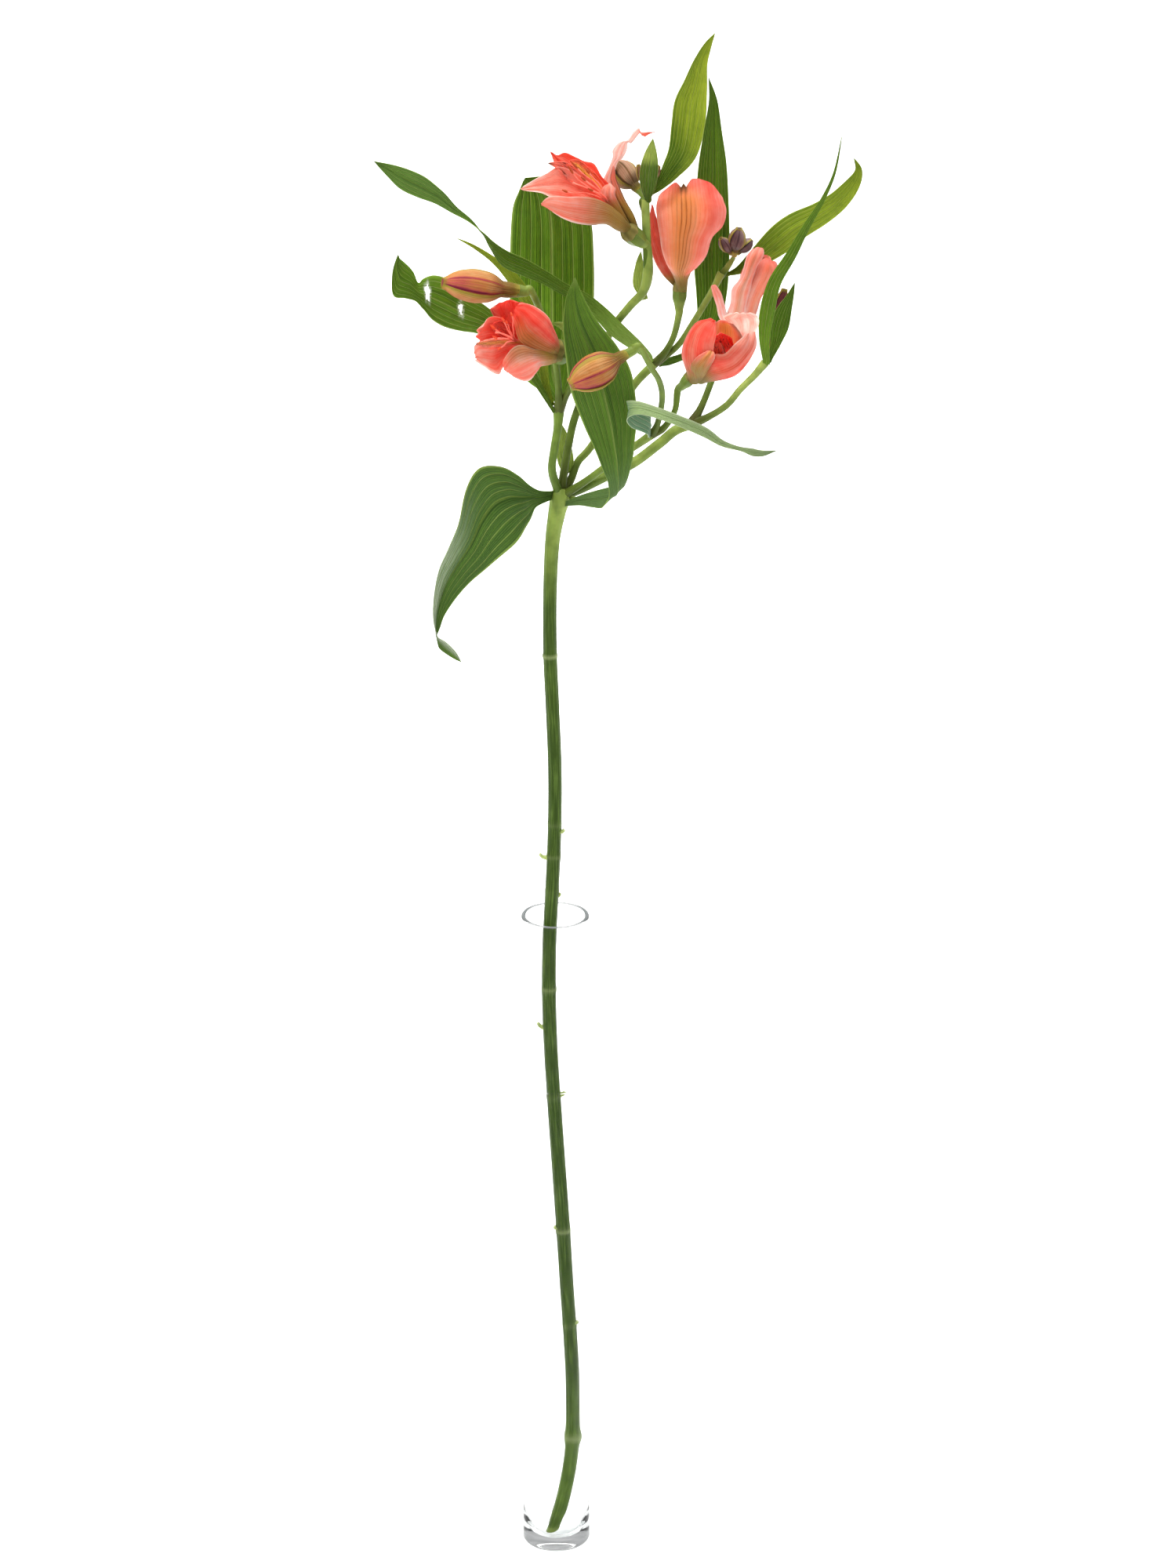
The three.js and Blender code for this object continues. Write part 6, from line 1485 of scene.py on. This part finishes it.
def tepal_tints(u, v, t, red, outer):
    """Where a hidden tepal is red, gold, green, dark, streaked or flecked."""
    dark = 0.5 * hill(t, 0, 0.07)
    if outer:
        tint = (red + 0.18 * np.abs(v) * rise(t, 0.2, 0.7) - 0.25 * hill(t, 0.1, 0.3)
                - 0.3 * rise(np.abs(v), 0.93, 1))
        gold = 0.35 * hill(v, 0, 0.45) * hill(t, 0.35, 0.3)
        streak = 0.45 * hill(v, 0, 0.34) * rise(t, 1.0, 0.55) * rise(t, 0.0, 0.2)
        lime = 0.75 * hill(t, 0, 0.2) + 0.8 * hill(v, 0, 0.06) * rise(u, 0.93, 1)
        fleck = 0
    else:
        tint = red + 0.12 * rise(t, 0.5, 1)
        gold = 0.85 * hill(v, 0, 0.55) * hill(t, 0.45, 0.22)
        streak = 0.35 * hill(v, 0, 0.5) * hill(t, 0.3, 0.3)
        lime = 0.6 * hill(t, 0, 0.2)
        dark = dark + 0.6 * rise(u, 0.95, 1)
        fleck = rise(t, 0.2, 0.4) * rise(t, 0.95, 0.75)
    return {"red": np.clip(tint, 0, 1), "gold": gold, "lime": np.clip(lime, 0, 1),
            "dark": np.clip(dark, 0, 1), "streak": streak, "fleck": fleck}


print("an outer tepal has", round(float(softened(FAN, 0.5)), 2), "of its full width halfway up")

# %% A tepal between two edges
EDGE_STEPS = 160


def edged_tepal(edges, look, random):
    """A tepal stretched between two edge curves, cupped between them and ruffled at the margin."""
    line = resample(edges, EDGE_STEPS)
    share = np.linspace(0, 1, EDGE_STEPS)
    u = np.linspace(0, 1, TEPAL_ROWS)[:, None]
    v = np.linspace(-1, 1, TEPAL_COLUMNS)[None, :]
    phase = random.uniform(0, 6, 3)
    notch, aside = look["notch"]
    frill = 0.012 * look["ruffle"] * np.sin(11 * v + phase[0]) * rise(u, 0.6, 1)
    cut = notch * hill(v, aside, 0.16) - 0.6 * notch * hill(v, aside, 0.045)
    t = u * (1 - look["round"] * np.abs(v) ** 2.6 - cut)
    t = np.clip(t - frill * rise(1 - np.abs(v), 0, 0.2), 0, 1)
    left, right = (np.stack([np.interp(t, share, line[:, k]) for k in corner], axis=-1)
                   for corner in ((0, 1, 2), (3, 4, 5)))
    half = (right - left) / 2
    reach = np.linalg.norm(half, axis=-1)
    bend = math.radians(look["arc"]) / 2
    grid = (left + right) / 2 + half * (np.sin(v * bend) / math.sin(bend))[..., None]
    # The face is turned to the front, so that a cup of 1 bulges that way.
    face = unit(np.cross(np.gradient(grid, axis=0), half))
    face = face * (-1 if face[..., 1].mean() > 0 else 1)
    lift = look["cup"] * reach / math.sin(bend) * (np.cos(v * bend) - math.cos(bend))
    # Waves: along the margin, across the tip, and a few soft folds that run lengthwise.
    margin = np.abs(v) ** 1.5 * rise(t, 0.3, 0.8) * np.minimum(reach / 3, 1)
    lift += look["ruffle"] * margin * np.sin(10 * t + 2.5 * v + phase[0])
    lift += (0.5 * look["ruffle"] * rise(u, 0.75, 1) * np.sin(7 * v + phase[1])
             * np.minimum(reach / 3, 1))
    lift += 0.35 * np.cos(9 * v + phase[2]) * rise(t, 0.1, 0.5) * np.minimum(reach / 4, 1)
    return tepal_sheet(grid + face * lift[..., None], v, edged_marks(u, v, t, look, phase[2]))


print("edges are followed in", EDGE_STEPS, "steps, and a tepal has", TEPAL_ROWS * TEPAL_COLUMNS, "points")

# %% Marks of a tepal between two edges
def edged_marks(u, v, t, look, phase):
    """Where an edged tepal is red, gold, green, dark, streaked or flecked."""
    notch, aside = look["notch"]
    neck = look["neck"]
    # Red: from the base to the tip, with painted shade that deepens and pales it in step with the
    # lengthwise folds, a blush, and paler margins.
    start, end = look["red"]
    tint = start + (end - start) * rise(t, 0.15, 0.95) + 0.08 * np.cos(9 * v + phase)
    tint = tint + look["blush"] * rise(t, 0.72, 0.9)
    pale_left, pale_right = look["pale"]
    light = pale_left * rise(-v, 0.6, 0.98) + pale_right * rise(v, 0.6, 0.98)
    # Streaks: up the middle, over the neck and in a fan. Green lies over the neck and under them.
    middle = hill(v, aside * rise(t, 0, 0.8), 0.3)
    fan = look["fan"] * rise(v, -0.1, 0.8) * rise(t, 0.95, 0.5)
    streak = (look["streak"] * middle * rise(t, 1.0, 0.75) + 0.75 * rise(t, neck * 1.7, neck * 0.7)
              + fan)
    olive = rise(t, neck * 1.3, neck * 0.4)
    lime = 0.85 * olive + 0.35 * look["streak"] * middle * rise(t, 0.5, 0.1) + 0.5 * fan
    gold = look["gold"] * hill(v, aside, 0.5) * rise(t, 1.0, 0.8) * rise(t, 0.02, 0.2)
    # Dark: all over as painted shade, at the base, at browned margins, and at the point of the tip.
    dark = (look["painted_shade"] + 0.45 * rise(t, 0.15, 0.02)
            + 0.7 * look["brown"] * rise(np.abs(v), 0.4, 1) + 0.12 * fan)
    point = rise(np.abs(v - aside), 0.16, 0.04) if notch else rise(np.abs(v), 0.9, 0.3)
    return {
        "along": u, "across": v, "rim": phase,
        "red": np.clip(tint - light - 0.2 * rise(np.abs(v), 0.9, 1), 0, 1),
        "gold": np.clip(gold, 0, 1),
        "streak": np.clip(streak * rise(t, 0, 0.08), 0, 1),
        "lime": np.clip(lime, 0, 1),
        "dark": np.clip(dark + look["tip"] * rise(u, 0.9, 0.99) * point, 0, 1),
        "fleck": rise(t, 0.25, 0.5) * rise(t, 0.97, 0.8) if look["inner"] else 0,
    }


first_look = {**PLAIN_LOOK, **BLOOMS["bloom_red_left"]["edged"][0][0]}
halfway = edged_marks(0.5, 0.0, 0.5, first_look, 0.0)
print("halfway up, the first tepal of the red flower is", round(float(halfway["red"]), 2), "red")

# %% [markdown]
# ## Stamens
#
# Six stamens rise from the throat: thin pink filaments with small oval anthers of grey-brown
# pollen. They are drawn as fine tubes that swell at the end, bent a little away from each other
# so that they do not look stamped out, with the pistil between them.

# %% Stamens of one flower
STAMEN_RINGS = 40
STAMEN_SIDES = 10
# The seventh line is the pistil.
PISTIL = 6
# A stamen's path: shares of its length along the axis, and of its spread away from it.
STAMEN_PATH = ((0.03, 0.2), (0.4, 0.45), (0.75, 0.75), (0.94, 1), (1.0, 1.1))


def stamen_lines(bloom, random):
    """The lines of six stamens and the pistil, as given or else spread round the flower's axis."""
    if "anthers" in bloom:
        return [[bloom["base"], bloom["throat"], *ends] for ends in bloom["anthers"]]
    axis = unit(bloom["axis"])
    first = unit(np.cross(np.array([0.3, 0.2, 0.9]), axis))
    second = np.cross(axis, first)
    lines = []
    for i in range(7):
        turn = i * math.pi / 3 + 0.4
        out = first * math.cos(turn) + second * math.sin(turn)
        length = bloom["stamens"] * (1 - 0.06 * (i % 3))
        spread = 0.3 if i == PISTIL else random.uniform(0.09, 0.15) * length
        droop = random.uniform(-1.2, 1.2)
        lines.append([np.array(bloom["base"]) + axis * length * up + out * spread * share
                      + second * droop * share ** 2 for up, share in STAMEN_PATH])
    return lines


def stamens(bloom, random):
    """Six stamens and the pistil of a flower, as skins with tint marks."""
    t = np.linspace(0, 1, STAMEN_RINGS)[:, None]
    skins = []
    for i, rows in enumerate(stamen_lines(bloom, random)):
        swell = 0.3 * rise(t, 0.85, 1) if i == PISTIL else 0.3 * hill(t, 0.91, 0.06)
        pollen = 0 if i == PISTIL else rise(t, 0.84, 0.87)
        reach = (0.42 - 0.2 * t + swell) * np.ones(STAMEN_SIDES)
        marks = {"red": 0.5 + 0.5 * pollen, "dark": bloom.get("pollen", 0.6) * pollen,
                 "gold": 0.1 * pollen}
        skins.append(tube(resample(rows, STAMEN_RINGS), reach, marks))
    return skins


print("a stamen is a tube of", STAMEN_RINGS, "rings with", STAMEN_SIDES, "sides")

# %% Put the blooms together
BLOOM_SEED = 100
CUP_RINGS = 14
CUP_SIDES = 36


def receptacle(bloom):
    """The short olive cup under the tepals."""
    neck = bloom["neck"]
    rows = [along(bloom, 0, neck), along(bloom, 2.5, neck - 0.2), along(bloom, 5.5, 0.5 * neck)]
    line = resample(rows, CUP_RINGS)
    ribs = np.cos(6 * round_turns(CUP_SIDES))
    share = np.linspace(0, 1, CUP_RINGS)[:, None]
    marks = {"lime": 0.9, "dark": 0.3 + 0.15 * rise(share, 0, 0.35) + 0.15 * ribs}
    return tube(line[:, :3], line[:, 3:4] * (1 + 0.06 * ribs), marks)


for number, (name, bloom) in enumerate(BLOOMS.items()):
    random = np.random.default_rng(BLOOM_SEED + number)
    slot = bloom["slot"]
    skins = [receptacle(bloom)]
    skins += [tepal(bloom, row, random) for row in bloom.get("tepals", [])]
    skins += [edged_tepal(edges, {**PLAIN_LOOK, **look}, random) for look, edges in bloom["edged"]]
    piece(name + "_tepals", skins, TEPAL_SKINS[slot], name)
    piece(name + "_stamens", stamens(bloom, random), TEPAL_SKINS[slot], name)

# %% [markdown]
# ## Buds
#
# A bud is the same flower still furled. Its three outer tepals wrap round each other like the
# petals of a rose, each with one edge under its neighbour's. So a bud is three curved sheets
# round a slim core, and the seams are real edges. Maroon painted shadow runs along the seams,
# just beside each covering edge, and a thin maroon line runs near each midrib. The margins are
# yellow-green, and the points stay apart as a tiny crown.

# %% Bud sheets
BUD_SHAPE = [[0, 0], [0.12, 0.14], [0.35, 0.86], [0.58, 1], [0.8, 0.8], [0.94, 0.42], [1, 0.12]]
BUD_ROWS = 48
BUD_COLUMNS = 41
BUD_THICKNESS = 0.35
BUD_NERVES = 9
BUD_SEED = 300
CORE_SIDES = 24
# How far each sheet wraps, to either side of its middle.
WRAP = math.radians(76)


def bud(base, tip, radius, neck, random, columns=BUD_COLUMNS):
    """Three wrapped tepals round a core, from the neck to the point."""
    base, tip = np.array(base, float), np.array(tip, float)
    axis = unit(tip - base)
    first = unit(np.cross(axis, [0.2, 0.1, 0.97]))
    second = np.cross(axis, first)
    t = np.linspace(0, 1, BUD_ROWS)[:, None]
    v = np.linspace(-1, 1, columns)[None, :]
    thin = neck * (0.8 + 0.2 * rise(t, 0, 0.15)) * rise(t, 0.9, 0.3)
    size = np.maximum(radius * softened(BUD_SHAPE, t * 0.99), thin)
    offset = random.uniform(0, 2)
    middle = base + t * (tip - base)
    skins = [tube(middle, 0.86 * size * np.ones(CORE_SIDES),
                  {"red": 0.8, "dark": 0.3, "lime": 0.4 * hill(t, 0, 0.2)})]
    # Each sheet stands off a little more towards one edge, so that this edge covers the next sheet.
    reach = size * (0.94 + 0.06 * v - 0.03 * hill(v, -0.75, 0.12)) + 0.035 * radius * hill(v, 0.15, 0.12)
    reach = reach + 0.012 * radius * np.cos(BUD_NERVES * math.pi * v) * rise(t, 0.02, 0.2)
    reach = reach * (1 + 0.4 * rise(t, 0.95, 1) * (1 - np.abs(v)))
    marks = bud_marks(t, v)
    for k in range(3):
        turn = offset + k * 2 * math.pi / 3 + v * WRAP + 0.35 * t
        grid = middle[:, None] + reach[..., None] * (
            first * np.cos(turn)[..., None] + second * np.sin(turn)[..., None])
        skins.append(sheet(grid, BUD_THICKNESS, {**marks, "rim": k + offset}))
    return skins


def bud_marks(t, v):
    """Where a wrapped tepal is red, gold, green, dark or streaked."""
    # The first bell is painted shadow just beside the edge of the sheet that covers this one; the second
    # is a maroon line near the midrib.
    seam_shadow_and_midrib = hill(v, -0.5, 0.09) + 0.75 * hill(v, 0.15, 0.05)
    red = 0.26 + 0.75 * seam_shadow_and_midrib * rise(t, 0.05, 0.3) + 0.4 * hill(v, -0.2, 0.5) * rise(t, 0.35, 0.85)
    lime = 0.9 * rise(v, 0.66, 0.95) + 0.8 * rise(t, 0.93, 1) + rise(t, 0.3, 0.02)
    streak = 0.8 * rise(t, 0.5, 0.15) + 0.3 * rise(t, 1, 0.7)
    return {
        "along": t, "across": v, "red": np.clip(red, 0, 1), "streak": streak * rise(t, 0, 0.1),
        "lime": np.clip(lime, 0, 1), "gold": 0.25 * hill(v, 0.78, 0.12),
        "dark": 0.3 * hill(t, 0.16, 0.14) + 0.25 * rise(t, 0.97, 1) * rise(np.abs(v), 0.4, 0.1),
    }


for number, (name, facts) in enumerate(BUDS.items()):
    skins = bud(facts["base"], facts["tip"], facts["radius"], facts["neck"],
                np.random.default_rng(BUD_SEED + number))
    piece(name + "_tepals", skins, TEPAL_SKINS[facts["slot"]], name)

# %% Bud clusters
# Each cluster has a green heart that carries its buds. Each bud: base, tip and radius.
CLUSTERS = {
    "buds_top": {"slot": "bud_olive", "heart": (39, 8.5, 645), "buds": [
        [(38.6, 8, 643.5), (35.8, 6.5, 653), 2.1], [(40, 8.8, 644), (44.6, 8.5, 652), 2.3]]},
    "buds_right": {"slot": "bud_plum", "heart": (77.5, 31, 606.5), "buds": [
        [(77.5, 31, 605.5), (79.5, 30, 617.5), 4], [(76.5, 31, 605.5), (71.5, 30, 613), 2.8],
        [(78.5, 31, 605.5), (85, 33, 611.5), 2.8], [(77.5, 32, 605.5), (78, 38, 613), 2.8]]},
}
CLUSTER_SEED = 400
SMALL_BUD_COLUMNS = 25
HEART_RINGS = 12
HEART_SIDES = 16

for number, (name, cluster) in enumerate(CLUSTERS.items()):
    random = np.random.default_rng(CLUSTER_SEED + number)
    x, y, z = cluster["heart"]
    line = resample([[x, y, z - 2.3, 1], [x, y, z, 1.8], [x, y, z + 1.6, 1]], HEART_RINGS)
    skins = [tube(line[:, :3], line[:, 3:4] * np.ones(HEART_SIDES), {"lime": 0.8, "red": 0.3})]
    for base, tip, radius in cluster["buds"]:
        skins += bud(base, tip, radius, 0.4 * radius, random, SMALL_BUD_COLUMNS)
    piece(name + "_tepals", skins, TEPAL_SKINS[cluster["slot"]], name)

# %% [markdown]
# ## Finish
#
# The last cell counts the pieces and their faces.

# %% Count the pieces and finish
print("pieces:", len(made_pieces), "with", sum(made_pieces.values()), "faces")
